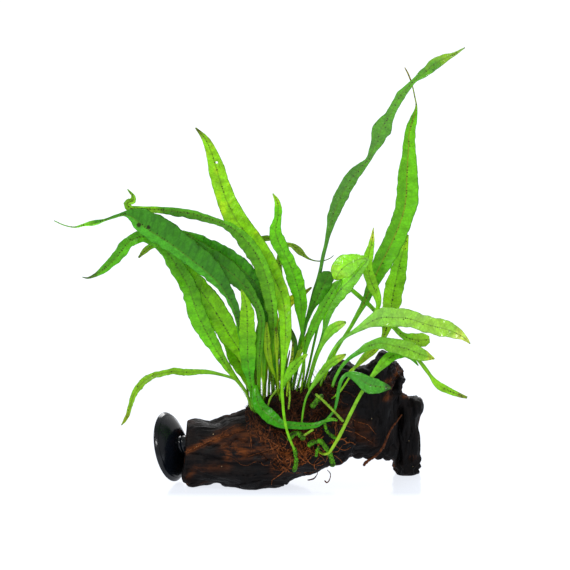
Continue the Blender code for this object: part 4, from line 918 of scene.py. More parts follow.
# Leaves: name, tone, and (across, up, back, width) points from the foot to the tip.
leafTable = (
    ("leaf_low_arch", "lime", (
        (-6.5, 47, -12, 1.4), (-8, 52, -13, 1.4), (-10, 57, -14, 1.4), (-13, 62, -15, 1.5),
        (-17, 65, -17, 1.6), (-25, 67.5, -19, 1.9), (-33, 69, -21, 2.8), (-43, 69, -23, 3.8),
        (-51, 69.5, -24, 4), (-59, 68, -25, 3.6), (-65, 66, -25, 4), (-70, 62, -25, 4),
        (-74, 56, -24, 3.6), (-76, 49.5, -23, 2.6), (-78, 43, -22, 2.4), (-81, 38.5, -21, 0.6))),
    ("leaf_left_whip", "dark", (
        (-6, 49, -11, 2), (-7, 58, -13.5, 2), (-8.3, 69, -16, 2.4), (-10, 79, -17, 2.8),
        (-12.4, 88, -18, 3.6), (-14.1, 97.4, -20, 4), (-16.2, 105, -23.5, 4.6), (-19.8, 112.4, -27, 5.8),
        (-23.7, 119, -30, 8), (-28.6, 124.9, -31, 10.5), (-34.3, 130.1, -32, 12),
        (-40.9, 135.4, -33, 12.2), (-48.6, 141.5, -34, 12.8), (-56.1, 146.8, -34, 13.8),
        (-62.8, 150.8, -34, 13.4), (-69.4, 155.2, -33, 11.5), (-74, 157.8, -32, 7),
        (-79, 158.3, -31, 2.5), (-84, 157, -31, 1.6), (-90, 155, -31, 1.4), (-96, 153.3, -31, 2.8),
        (-102, 152.2, -31, 1.5), (-107, 151, -31, 0.8), (-113, 152.2, -31, 0.6),
        (-118.5, 154.7, -31, 0.5))),
    ("leaf_left_droop", "fresh", (
        (-7, 49, -8, 1.8), (-10, 57, -9, 1.8), (-15, 64, -10, 2.4), (-20.5, 71, -11, 4),
        (-24.5, 77, -12, 5), (-30.5, 87, -13, 8), (-34.5, 94.5, -15, 9.4), (-38.5, 103, -16, 9.4),
        (-42.4, 116, -18, 8.8), (-48.5, 127, -19, 8.6), (-54, 135.5, -20, 7.5), (-60.5, 142.3, -21, 6.5),
        (-68.5, 145.4, -22, 6), (-76, 142.6, -22, 6), (-81, 136.6, -21, 6.5), (-86, 131.2, -20, 5.3),
        (-91, 126.8, -19, 4), (-96, 123.6, -18, 2), (-100, 122.2, -17, 1), (-103, 122.8, -17, 0.4))),
    ("leaf_left_inner", "fresh", (
        (-5, 50, -4, 1.8), (-7, 60, -5, 1.8), (-9, 68, -6, 2.4), (-11.5, 77, -8, 4), (-15, 84, -9, 7),
        (-19.1, 90.4, -10, 9.2), (-23.6, 98.3, -11, 10.2), (-29.5, 107.5, -12, 10.2),
        (-36.7, 117.3, -13, 9), (-45.2, 126.8, -14, 7.6), (-51.4, 134, -15, 6), (-57, 139.6, -16, 4.6),
        (-62, 141.4, -17, 3), (-67.5, 137.7, -17, 2.4), (-71, 133.8, -17, 0.8))),
    ("leaf_left_short", "lime", (
        (-4.5, 50, 0, 1.6), (-7, 58, -1, 1.8), (-10, 66, -2, 3.5), (-13, 73, -3, 6), (-16.5, 79, -4, 6),
        (-20, 84, -5, 3.2), (-23.3, 87.7, -6, 0.8))),
    ("leaf_left_broad", "fresh", (
        (-5.5, 49, -16, 2.8), (-6.3, 57, -17, 3.4), (-7.5, 65, -18, 5), (-8.7, 73, -19, 8),
        (-9, 82, -20, 9.5), (-9, 91, -20.5, 9.8), (-9.2, 100, -21, 8.5), (-9.8, 107, -21, 6),
        (-12.5, 115.5, -21, 1))),
    ("leaf_left_shaded", "mid", (
        (-2, 52, -6, 1.6), (-2.5, 62, -9, 2), (-2.6, 74, -12, 3), (-1.8, 86, -15, 3.8),
        (-1.2, 95.5, -17, 4.2), (-1.8, 102.1, -19, 4.4), (-4.4, 108.3, -21, 4.8), (-8.7, 115.2, -23, 6.4),
        (-13.9, 121, -25, 9), (-19.1, 125.6, -27, 11.4), (-24.8, 130.2, -28, 11), (-30.5, 135.2, -29, 8),
        (-36.5, 141, -30, 4), (-41, 145, -30, 0.8))),
    ("leaf_left_lit", "dark", (
        (0, 53, -2, 1.5), (0.2, 65, -4, 1.8), (0.8, 80, -6, 3), (2, 94, -8, 5.4), (2.3, 103.1, -10.5, 6.2),
        (0.4, 110.7, -13.5, 7.4), (-3.9, 118, -15, 8.4), (-9.6, 124.7, -17, 9.2), (-15.3, 130, -19, 9.6),
        (-22.9, 135.4, -21, 9.2), (-30.5, 139.8, -22, 8), (-39, 144.8, -23, 5), (-45.7, 148.9, -24, 1))),
    ("leaf_curled_tip", "mid", (
        (3, 54, 2, 1.4), (3.5, 68, 0, 1.5), (5, 82, -4, 2.4), (6, 95, -10, 4), (5.5, 107, -16.5, 5.5),
        (3.5, 118, -18, 6), (0, 129, -19, 6), (-5, 138.5, -19, 6), (-11, 145.5, -19, 5.5),
        (-17, 150.8, -20, 4.3), (-24, 154, -21, 3), (-32, 156.7, -22, 3.3), (-40, 159, -23, 3.7),
        (-50, 160.5, -24, 3.4), (-60, 161.4, -25, 2.6), (-70, 161.8, -25, 2.6), (-75, 162, -26, 2.4),
        (-76.6, 164.3, -26, 1.2), (-73.5, 165.8, -26, 1.4), (-73.3, 168.5, -26, 1.3),
        (-75, 170.7, -26, 1.1), (-76.8, 172.6, -26, 0.5))),
    ("leaf_tall_left", "lime", (
        (17, 26, -33, 1.3), (14.7, 31.5, -34.5, 1.4), (13, 37, -35.5, 1.5), (11.7, 44, -36, 1.6),
        (11, 52, -35, 1.7), (10.6, 61, -33, 1.8), (11, 71, -30, 2.2), (12, 80, -27, 4),
        (12.8, 89, -24, 6.5), (12.6, 100, -17, 7.2), (11, 111, -13, 8.5), (7.5, 120, -11, 10),
        (3, 129, -9.5, 11.5), (-3, 138, -8, 12.5), (-9, 146.5, -7, 13), (-15, 155.5, -5, 12.8),
        (-20, 165, -2, 11.5), (-23.5, 175, 1, 10.2), (-26.5, 185, 4, 9.3), (-29.5, 194, 6, 6.8),
        (-33, 201.5, 8, 4), (-38.7, 207.8, 9, 0.8))),
    ("leaf_young_1", "lime", (
        (9, 58, -6, 1.1), (7, 65, -8, 1.2), (4, 73, -10, 2.8), (2.5, 80, -12, 4), (2, 88, -13, 3.6),
        (1.8, 97, -14, 1))),
    ("leaf_young_2", "lime", (
        (8.5, 57, -9, 1.1), (8, 68, -11, 1.2), (7.6, 78, -13, 1.6), (7.5, 86, -14, 2.6), (7, 94, -15, 1.2))),
    ("leaf_young_3", "olive", (
        (6, 56, 4, 1.1), (6, 72, 2, 1.3), (6.5, 86, 0, 2.6), (6.8, 98, -1, 3.4), (6, 107, -1, 2.2),
        (5.5, 113, -1, 0.8))),
    ("leaf_middle_twist", "fresh", (
        (21.5, 58, -4, 1.4), (23, 68, -3, 1.4), (23.2, 78, -2, 1.5), (22.6, 86, -1, 1.6), (22, 92, 0, 2),
        (21.8, 97.5, 0, 3.6), (21.7, 104, 0, 5.9), (21.4, 109.7, 0, 7), (20.3, 115.4, 0, 8.2),
        (17.9, 123, -1, 8.8), (15, 130.6, -2, 7.4), (11.5, 137.3, -3, 7.2), (8.5, 143.9, -4, 7.4),
        (7, 149.6, -4, 6.4), (8.1, 155.3, -4, 4.4), (8.6, 161, -4, 4), (7.9, 165.8, -3, 2.9),
        (5.3, 170.4, -2, 0.6))),
    ("leaf_olive_thread", "olive", (
        (13, 56, 10, 1.2), (13, 75, 11, 1.4), (12, 95, 12, 2.4), (10, 115, 12, 3.4), (8.8, 130, 11, 3.6),
        (11, 140.5, 9, 3), (15.5, 141.2, 8, 2.6), (18.4, 139.4, 8, 3.8), (21.5, 136.8, 8, 3.6),
        (24, 134.6, 8, 1.8), (26.5, 133, 9, 1), (30, 132, 11, 0.8), (34, 132.1, 13, 0.7),
        (38, 133.6, 14, 0.6), (40, 135.2, 14, 0.4))),
    ("leaf_middle_hook", "fresh", (
        (5, 56, 14, 1.2), (4, 80, 15, 1.5), (3, 105, 15, 3), (-1, 125, 14, 5), (-4.5, 137, 12, 4.6),
        (-3, 143.4, 10, 3.4), (0.9, 144.9, 9, 3.4), (4.4, 144.9, 9, 2.4))),
    ("leaf_yellow_tip", "lime", (
        (7.5, 57, 16, 1.1), (8, 80, 17, 1.6), (10.5, 100, 17, 4), (15, 108.5, 16, 5.6), (21, 112, 14, 4),
        (27.4, 117, 12, 1))),
    ("leaf_young_4", "dark", (
        (15, 58, 2, 1.1), (16.5, 70, 1, 1.2), (17.8, 80, 0, 2.2), (17.6, 87, 0, 3.2), (15.4, 94, 0, 0.8))),
    ("leaf_young_5", "lime", (
        (13.5, 57, -14, 1), (14.5, 68, -14, 1.1), (16.2, 77, -13, 1.7), (16.7, 86, -12, 0.7))),
    ("leaf_front_lying", "dark", (
        (-0.5, 52, -12, 1.6), (-2.8, 57.6, -13.5, 1.8), (-4.2, 60.5, -19, 2.6), (-4.3, 57, -22, 4.2),
        (-2.8, 50.5, -25, 6.8), (1, 46, -27, 8), (5.5, 42.3, -30, 7.4), (10.5, 39.2, -32, 4.6),
        (17, 38.6, -33, 4.2), (24, 38.2, -33, 3.8), (30, 38.8, -33, 3), (35, 41, -33, 1.8),
        (39, 42.1, -33, 2.2), (42, 41.4, -33, 1.2))),
    ("leaf_front_short", "fresh", (
        (9.5, 55, -18, 1.3), (11.3, 61, -20, 1.8), (14, 67, -21, 4.4), (17.3, 71.8, -22, 6),
        (20.5, 75.2, -22, 4.4), (23, 77.4, -22, 3), (25, 79, -22, 1))),
    ("leaf_tallest", "mid", (
        (17, 60, 6, 1.7), (19.5, 72, 7, 1.7), (21.3, 84, 8, 1.8), (23.8, 94, 8, 1.9), (25.5, 101.2, 9, 2),
        (27.2, 107.8, 9, 2.2), (29.2, 115.4, 10, 2.3), (31.1, 121.1, 10, 2.3), (32.7, 127.8, 10, 2),
        (33.9, 134.4, 11, 2.1), (35.6, 141.1, 11, 2.1), (37, 147.7, 12, 2.8), (38.4, 153.4, 13, 4.4),
        (39.7, 158.2, 13, 5.6), (41.7, 162.9, 14, 6.6), (44.8, 169.5, 15, 7), (49.3, 177.5, 15, 6.8),
        (54.9, 184.6, 14, 5.4), (60.2, 190.3, 13, 2.8), (62.3, 195.3, 12, 4), (64.9, 200.6, 11, 6.8),
        (67.6, 207.4, 10, 9.6), (72, 215, 8, 5.4), (75.2, 221, 6, 4.6), (78, 226, 5, 5.2),
        (82.5, 231, 3, 3.2), (86, 234.6, 2, 2.4), (91.3, 238.6, 1, 5), (96.8, 243.2, 0, 5.8),
        (102.3, 246.5, -1, 4.6), (108.2, 249.2, -2, 2.2), (114.3, 252.9, -3, 0.5))),
    ("leaf_tall_right", "fresh", (
        (28, 56, -4, 1.3), (32, 64, -3.5, 1.3), (36.5, 73, -3, 1.4), (41, 80, -2.5, 1.6), (45, 87, -2, 1.9),
        (49.5, 94, -1, 2.2), (54, 102, 0, 2.8), (58, 109, 1, 4), (61.5, 117, 2, 6.5), (65, 125, 3, 9),
        (69, 133, 4, 11.2), (73.5, 142, 5, 11.8), (77.5, 151, 6, 11.8), (80.5, 160, 7, 12.2),
        (82, 169, 8, 12.6), (82.3, 178, 9, 12), (82.6, 187, 10, 10), (83, 196, 11, 7.4),
        (83.4, 205, 12, 6.4), (85.5, 213, 12, 4.2), (87, 220, 13, 1.2), (86, 226, 13, 0.8),
        (84.5, 232.5, 13, 0.8), (82.5, 238, 13, 0.9), (80.4, 242, 13, 0.6))),
    ("leaf_right_behind", "fresh", (
        (31, 50, -8, 1.2), (38, 58, -7, 1.3), (44, 64, -6, 1.3), (49, 68.8, -5, 1.4), (53, 72, -3, 1.8),
        (58, 76.5, 0, 3), (63, 80.8, 3, 3.5), (67, 85, 6, 2.2), (69.2, 90, 8, 3.4), (71, 97, 10, 7.5),
        (73, 106, 12, 9.8), (74.8, 116, 14, 10.8), (76.8, 126, 15, 9.6), (79, 135, 16, 7),
        (82.5, 147, 17, 1))),
    ("leaf_folded", "lime", (
        (24, 58, 0, 1.7), (26.7, 67, 0, 1.8), (29.2, 76, 0, 1.9), (32.5, 85, 0, 2), (34.8, 93, 0, 2.5),
        (36.3, 101, 0, 5), (38.8, 108, 0, 7.6), (42.3, 113.7, 0, 9.4), (46.6, 118.4, 0, 9.6),
        (51.3, 123.2, 0, 7.4), (56, 128.6, -1, 5), (59, 132.4, -4, 2.8), (56.3, 133.3, -8, 5),
        (51.5, 131.9, -11, 9), (46.5, 129, -13, 13), (42.8, 125.2, -13, 10.5), (41.2, 121.4, -11, 3))),
    ("leaf_right_small", "lime", (
        (30, 55, -8, 1.2), (35, 66, -8, 1.2), (39.5, 76, -7.5, 1.3), (43.7, 85, -7, 1.3), (49, 90.3, -7, 1.3),
        (55, 95, -7, 1.4), (61.5, 100, -7, 1.6), (65.3, 106, -7, 2.6), (64.8, 112, -6, 4.6),
        (62, 118.5, -5, 6), (59.8, 125, -4, 6.2), (59, 131, -3, 5.8), (60.3, 137, -2, 5),
        (61.7, 143, -1, 3.2), (62.6, 151, 0, 0.4))),
    ("leaf_big_arch", "fresh", (
        (31, 56, -12, 1.4), (34.5, 68, -11, 1.5), (37, 76, -10, 1.6), (41, 83, -9, 1.8),
        (45, 87.6, -9, 2), (49.5, 90.5, -10, 2.2), (54.4, 93.4, -11, 3.6), (60, 96.8, -13, 6),
        (66.4, 99.6, -15, 10.5), (74, 99.8, -17, 11.6), (81.6, 99.4, -19, 10.2), (89.2, 97.2, -20, 9.3),
        (95.9, 95.1, -21, 9.2), (102.5, 93.6, -22, 9.8), (108.2, 91.6, -22, 7.2), (113.7, 88.6, -22, 3.6),
        (117.6, 84.9, -22, 0.6))),
    ("leaf_lower_arch", "fresh", (
        (36.5, 51, -14, 1.5), (38.5, 58, -15, 1.6), (41, 65.5, -16, 1.8), (44.5, 71.8, -17, 1.9),
        (49, 76.6, -18, 2.2), (54, 80, -19, 3), (60, 83.6, -20, 5), (67, 85.2, -21, 6.8),
        (74, 83.8, -22, 8.8), (81, 82.2, -23, 9), (87, 79.8, -24, 8.2), (92, 78, -25, 6),
        (97.3, 76.3, -25, 0.8))),
    ("leaf_right_bent", "lime", (
        (22, 56, 8, 1.4), (26, 72, 9, 1.4), (29.5, 88, 10, 1.5), (33.5, 104, 11, 1.6),
        (37.5, 115.5, 12, 1.8), (42, 119.8, 12, 2), (47, 118, 12, 2.3), (53, 113.3, 11, 2.6),
        (59, 108, 10, 2.6), (65, 102.3, 8, 2.4), (71, 96.8, 5, 2.6), (76.4, 92.3, 2, 3), (80.4, 89, 0, 4),
        (84.5, 87.5, -1, 7), (88.7, 86.9, -2, 8.4), (92.1, 87, -2, 7.2), (94.8, 87.4, -2, 3.6))),
    ("leaf_right_hanging", "lime", (
        (36, 51, -18, 1.1), (40.5, 55, -19, 1.2), (44, 58.3, -20, 1.2), (47, 62.6, -20, 1.2),
        (50, 67.5, -19, 1.2), (54, 74.5, -16, 1.3), (59, 80.5, -14, 1.4), (66, 84, -14, 1.5),
        (74, 83.8, -15, 1.6), (81.5, 80.8, -16, 1.7), (88, 75.7, -17, 2), (92.2, 70.6, -18, 2.4),
        (95.4, 66.2, -19, 2.2), (98.2, 62.6, -20, 3.8), (102.3, 59.6, -21, 4.6), (107.5, 57.3, -22, 3.4),
        (112.5, 55.2, -22, 2.4), (116, 54.2, -22, 1.4))),
    ("leaf_front_stalk", "fresh", (
        (37.5, 23, -31, 1.4), (39.5, 26, -31.5, 1.7), (43, 32, -32, 1.9), (46.5, 39, -31, 2),
        (50.2, 46.5, -30, 2), (54, 54, -28, 2), (57.8, 60.2, -27, 2.1), (61.8, 66.4, -26, 2.5),
        (65.9, 71.3, -23, 4.4), (70.2, 75.8, -20, 6.4), (75, 78.6, -17, 5.6), (80, 79, -15, 4.4),
        (84, 77, -14, 2.8), (86.6, 74.4, -14, 1.6), (88.3, 72.3, -14, 0.6))),
    ("leaf_crag_dark", "dark", (
        (34, 40, -27, 1.3), (38, 44, -27, 1.4), (40.6, 47.8, -26.5, 1.5), (41.8, 53, -26, 1.8),
        (42.8, 59, -25, 2), (44.2, 64, -24, 2), (47, 67.3, -23, 2.4), (50.5, 67, -22.5, 4.6),
        (55, 64.8, -22, 7), (60, 61.8, -21.5, 9.4), (65, 60.6, -21, 8), (69.5, 60.3, -20.5, 4.6),
        (72.5, 59.6, -20, 1))),
    ("leaf_yellow_end", "fresh", (
        (22, 42, -28, 1.1), (22.8, 48, -26, 1.2), (24.3, 54, -24, 1.3), (26.7, 58.8, -22, 1.6),
        (29.8, 63.5, -20, 3), (33.5, 68.7, -18, 4.2), (37.5, 73, -17, 4.4), (41.8, 76, -17, 4.2),
        (45, 77.7, -17, 3), (47, 79, -17, 0.8))),
    ("leaf_lime_short", "lime", (
        (25.8, 61, -9, 1.3), (27.8, 69, -9, 1.4), (30, 76.5, -9, 1.5), (33, 83.5, -10, 1.8),
        (35.3, 88, -11, 3), (38, 92, -12, 4.4), (41.5, 94.8, -13, 4.6), (44.6, 96.2, -13, 3.4),
        (47, 97.2, -13, 1))),
    ("leaf_right_inner", "mid", (
        (19.5, 60, -3, 1.3), (22, 70, -4, 1.4), (23.8, 79, -5, 1.6), (25.6, 87, -6, 3),
        (27.8, 93, -6, 4.8), (30.3, 98, -6, 5.6), (33, 103.5, -6, 5.6), (36.5, 109.5, -6, 5),
        (41, 117, -5, 3), (44.5, 121.5, -4, 0.8))),
    ("leaf_right_shaded", "dark", (
        (16.5, 60, -1, 1.3), (18.7, 72, 0, 1.3), (20.3, 84, 1, 1.4), (22.8, 93, 2, 1.7),
        (25.6, 100.2, 3, 2.2), (27.9, 105.9, 4, 3.2), (31.5, 111.6, 4, 5.4), (34.3, 117.3, 5, 6.6),
        (36.2, 121.3, 5, 7.6), (37.8, 124, 5, 6), (38.8, 125.4, 5, 2.4))),
)
leafForm = {
    "station": 9.0,  # between the solids' sections
    "step": 1.15,  # between the pieces' own sections
    "stalkWidth": 2.5,  # wider than this is blade
    "solidThickness": 0.5,
    "thickness": 0.34,
    "fold": 0.10,  # depth of the midrib's valley, as a share of the width
    "clearance": 0.75,  # between leaves that cross
    "sample": 2.5,
    "sample": 2.5,
    "settleRounds": 80,
    "closest": 1.5,  # between two points of a path
    "footClearance": 0.4,
    "rootedLength": 7,  # how far a stalk runs on into the mat
    "footSteps": 7,  # how many steps more a foot may take to get this deep into the mat
    "footStep": 1.8,
    "footDepth": 1.2,
    "ruffle": 0.17,  # height of the margin's waves, as a share of the width
    "scallop": 0.15,  # how far the outline itself goes in and out
    "veinGap": 4.3,  # between side veins, in millimetres
    "blister": 0.38,  # the swelling between side veins, in millimetres
}


def leafDepth(width):
    # half of what a leaf of this width takes up from front to back
    if width < leafForm["stalkWidth"]:
        return 0.5 * width
    return 0.5 * leafForm["solidThickness"] + leafForm["fold"] * width / 2 + 0.1


def settle(paths):
    # moves leaves that cross in the view apart from front to back, in the order in which they lie
    samples = [np.array(path) for path in paths]
    moved = [np.zeros(len(path)) for path in samples]
    depths = [np.array([leafDepth(width) for width in path[:, 3]]) for path in samples]
    crossings = []
    for i, first in enumerate(samples):
        for j in range(i + 1, len(samples)):
            second = samples[j]
            apart = np.hypot(first[:, None, 0] - second[None, :, 0], first[:, None, 1] - second[None, :, 1])
            reach = (first[:, None, 3] + second[None, :, 3]) / 2 + leafForm["sample"] / 2
            near, far = np.nonzero(apart < reach)
            if len(near):
                order = 1.0 if np.mean(second[far, 2] - first[near, 2]) > 0 else -1.0
                crossings.append((i, j, near, far, order))
    for _ in range(leafForm["settleRounds"]):
        pushes = [np.zeros(len(path)) for path in samples]
        for i, j, near, far, order in crossings:
            lead = samples[i][near, 2] + moved[i][near]
            trail = samples[j][far, 2] + moved[j][far]
            need = depths[i][near] + depths[j][far] + leafForm["clearance"]
            short = np.clip(need - order * (trail - lead), 0, None) / 2
            np.maximum.at(pushes[i], near, np.where(order > 0, 0, 1) * short)
            np.minimum.at(pushes[i], near, np.where(order > 0, -1, 0) * short)
            np.maximum.at(pushes[j], far, np.where(order > 0, 1, 0) * short)
            np.minimum.at(pushes[j], far, np.where(order > 0, 0, -1) * short)
        for shift, push in zip(moved, pushes):
            shift += push
            shift[1:-1] = (shift[:-2] + 2 * shift[1:-1] + shift[2:]) / 4
            shift[:3] = shift[:3] * (0.0, 0.4, 0.8)
    return moved


def nearestSample(samples, point):
    def distance(i):
        return math.dist(samples[i][:2], point[:2]) + 0.3 * abs(samples[i][2] - point[2])

    return min(range(len(samples)), key=distance)


def leafPath(samples, shifts, points):
    # the leaf's path as its solid has it, in front of the bed, and run on down into the mat
    path = []
    for across, up, back, width in smoothPath(points, leafForm["station"]):
        at = nearestSample(samples, (across, up, back))
        path.append((across, up, back + shifts[at], width))
    fine = smoothPath(path, 1.0)
    first = 0
    while first < len(fine) // 2:
        if roomAt(spot(*fine[first][:3])) >= fine[first][3] / 2 + leafForm["footClearance"]:
            break
        first += 1
    kept = [fine[first]] + [point for point in path if point in fine[first + 1:]]
    if math.dist(kept[0][:3], kept[1][:3]) < leafForm["closest"]:
        del kept[1]
    free = []
    for across, up, back, width in kept:
        free.append((across, up, broughtForward(across, up, back, leafDepth(width) + gap), width))
    rooted = fine[max(0, first - leafForm["rootedLength"]):max(0, first - 1):3]
    path = [point for point in rooted if math.dist(point[:3], free[0][:3]) > leafForm["closest"]] + free
    return downIntoBed(path) + path


def downIntoBed(path):
    # more stalk under a foot that stands clear of the mat, bending until it is well inside
    foot, after = np.array(path[0]), np.array(path[1])
    heading = (foot - after)[:3] / math.dist(foot[:3], after[:3])
    added = []
    while len(added) < leafForm["footSteps"] and roomAt(spot(*foot[:3])) > -leafForm["footDepth"]:
        point = spot(*foot[:3])
        surface, normal = nearestOn(bedTrees, point)[:2]
        inward = surface - normal * 2 * mm - point
        inward = np.array((inward.x, seenUp(inward.y + nearestBack, inward.z), inward.y))
        heading = 0.6 * heading + 0.4 * inward / max(np.linalg.norm(inward), 1e-9)
        heading /= np.linalg.norm(heading)
        foot = foot + np.array((*(heading * leafForm["footStep"]), 0.0))
        added.insert(0, tuple(foot))
    return added


# where each section has its points, from one margin to the other
acrossShares = (-1, -0.88, -0.66, -0.4, -0.14, 0, 0.14, 0.4, 0.66, 0.88, 1)


def leafSections(path, look, seed):
    # for each section: its points round the leaf, and what the material reads at each of them
    bladeFrom = min(leafForm["stalkWidth"], 0.6 * max(width for *_, width in path))
    points = [spot(*point[:3]) for point in path]
    rib = look["rib"]
    turnFoot, turnTip = look["turn"]
    blade = 0.0
    along = 0.0
    across = None
    length = sum((b - a).length for a, b in zip(points, points[1:])) / mm
    sections = []
    for i, (*_, width) in enumerate(path):
        before, after = points[max(i - 2, 0)], points[min(i + 2, len(points) - 1)]
        tangent = (after - before).normalized()
        along += (points[i] - points[i - 1]).length / mm if i else 0.0
        share = along / length
        sway = look["sway"] * wander(along, 34.0, seed) * smoothStep(along, 10, 30)
        turn = math.radians(turnFoot + (turnTip - turnFoot) * share + sway * blade)
        side = Matrix.Rotation(turn, 3, tangent) @ tangent.cross(toViewer).normalized()
        across = -side if across is not None and side.dot(across) < 0 else side
        normal = across.cross(tangent)
        width *= 1 + (look["widen"] - 1) * smoothStep(share, *look["widenFrom"]) if i else 1
        least = look["least"] * smoothStep(share, 0.5, 0.7) * (1 - smoothStep(share, 0.95, 1.0))
        seen = max(width, 0.35, least)
        if seen > bladeFrom:
            blade = min(1.0, blade + leafForm["step"] / 12.0)
        half = seen / 2 * (1 + blade * (1 / math.cos(turn) - 1))
        upper, lower = [], []
        for s in acrossShares:
            edge = abs(s)
            sideSeed = seed + (11 if s > 0 else 23)
            scallop = 0.65 * wander(along, look["teeth"], sideSeed)
            scallop += 0.35 * wander(along, look["teeth"] * 0.4, sideSeed + 5)
            out = rib + s * (1 - rib if s > 0 else 1 + rib) + look["aside"] * blade
            out *= 1 + blade * look["scallop"] * min(1.0, 5 / half) * edge ** 3 * scallop
            wave = 0.6 * wander(along, look["wave"], sideSeed + 2) + 0.4 * math.sin(
                along * 2 * math.pi / (look["wave"] * 1.15) + sideSeed + wander(along, 30, sideSeed) * 2)
            lift = -look["fold"] * half * (1 - edge ** 1.3)
            lift += look["ruffle"] * min(half * 2, 9) * edge ** 2.2 * wave
            vein = math.sin((along - 0.55 * edge * half) * 2 * math.pi / leafForm["veinGap"] + seed)
            lift += leafForm["blister"] * vein * 4 * edge * (1 - edge) * min(1.0, half / 4)
            nearRib = math.exp(-(s * half / 0.42) ** 2)
            thick = seen / 2 * 0.9 * math.sqrt(max(0.0, 1 - s * s))
            leaf = leafForm["thickness"] / 2 * (1 - 0.75 * edge ** 6)
            top = thick * (1 - blade) + blade * (leaf + lift - 0.16 * nearRib)
            bottom = -thick * (1 - blade) + blade * (lift - leaf - 0.30 * nearRib)
            place = (s * half, along, seed)
            mark = (s, share, blade)
            flat = points[i] + across * out * half * mm
            burn = max((1 - (spot(a, u, 0) - flat).cross(toViewer).length / mm / reach
                        for a, u, reach in look["burns"]), default=0.0)
            upper.append((flat + normal * top * mm, place, mark, burn))
            lower.append((flat + normal * bottom * mm, place, mark, burn))
        sections.append(upper + lower[-2:0:-1])
    return sections


def leafMesh(name, leaves, holes=()):
    # skins the sections; a hole is a cell that is left open, with walls between its two sides
    sections = [section for leaf in leaves for section in leaf]
    count = len(sections[0])
    last = len(acrossShares) - 1
    points = [entry[0] for section in sections for entry in section]
    faces = []
    seams = set()
    for leaf in leaves:
        first = (max(seams) + 1) * count if seams else 0
        seams.add(first // count + len(leaf) - 1)
        faces.append(tuple(reversed(range(first, first + count))))
        faces.append(tuple(range(first + (len(leaf) - 1) * count, first + len(leaf) * count)))
    opened = set()
    for hole in holes:
        centre = [sum((spot(*hole, 0) - points[i * count + k]).cross(toViewer).length
                      for i, k in ((r, c), (r, c + 1), (r + 1, c), (r + 1, c + 1)))
                  for r in range(len(sections) - 1) for c in range(last)]
        at = min(range(len(centre)), key=centre.__getitem__)
        opened.add((at // last, at % last))
    for r in sorted(set(range(len(sections))) - seams):
        for k in range(count):
            n = (k + 1) % count
            mirrored = (r, k) if k < last else (r, count - 1 - k)
            if mirrored in opened:
                continue
            faces.append((r * count + k, r * count + n, (r + 1) * count + n, (r + 1) * count + k))
    for r, k in opened:
        top = [r * count + k, r * count + k + 1, (r + 1) * count + k + 1, (r + 1) * count + k]
        under = [a // count * count + (count - a % count) % count for a in top]
        for a in range(4):
            b = (a + 1) % 4
            faces.append((top[a], top[b], under[b], under[a]))
    mesh = smoothMesh(name, points, faces)
    for title, part in (("leafPlace", 1), ("leafShare", 2)):
        data = mesh.attributes.new(title, "FLOAT_VECTOR", "POINT")
        data.data.foreach_set("vector", [v for section in sections for entry in section for v in entry[part]])
    burns = mesh.attributes.new("leafBurn", "FLOAT", "POINT")
    burns.data.foreach_set("value", [entry[3] for section in sections for entry in section])
    return mesh


# Leaf looks: colours at the foot, the blade, the tip and its very end, then what is unlike the usual leaf.
usualLook = {
    "turn": (0, 0),  # how far it is turned away from the viewer at its foot and at its tip, in degrees
    "patch": None,  # colour of larger patches: yellower ones where the leaf yellows, pale ones that are a painted sheen
    "paintedHalves": (1.0, 1.0),  # painted light and shade: brightness of each side of the midrib, as the fold turns one side to the light and the other away
    "rib": 0.0,  # how far the midrib lies off the middle
    "ribColour": "#5F7F1C",
    "marginColour": "#4A8A14",
    "spotColour": "#26260A",
    "dots": 0.5,  # how many dark dots stand along the midrib
    "spots": 0.3,
    "roughness": 0.36,
    "shine": 0.3,
    "ruffle": leafForm["ruffle"],
    "scallop": leafForm["scallop"],
    "teeth": 4.6,  # length of the outline's own waves, in millimetres
    "wave": 9.0,  # length of the margin's waves, in millimetres
    "fold": leafForm["fold"],
    "sway": 9.0,  # how far the blade turns to and fro, in degrees
    "widen": 1.0,  # how much wider than its solid the blade is, and from which share of its length
    "widenFrom": (0.2, 0.45),
    "aside": 0.0,  # how far to one side the blade lies, as a share of half its width
    "forward": 0.0,  # how far its outer half leans to the front, in millimetres
    "least": 0.0,  # the least width that the outer half of a curled leaf keeps
    "holes": (),
    "burns": (),  # dark dead patches: across, up and radius
    "endFrom": 0.95,
}
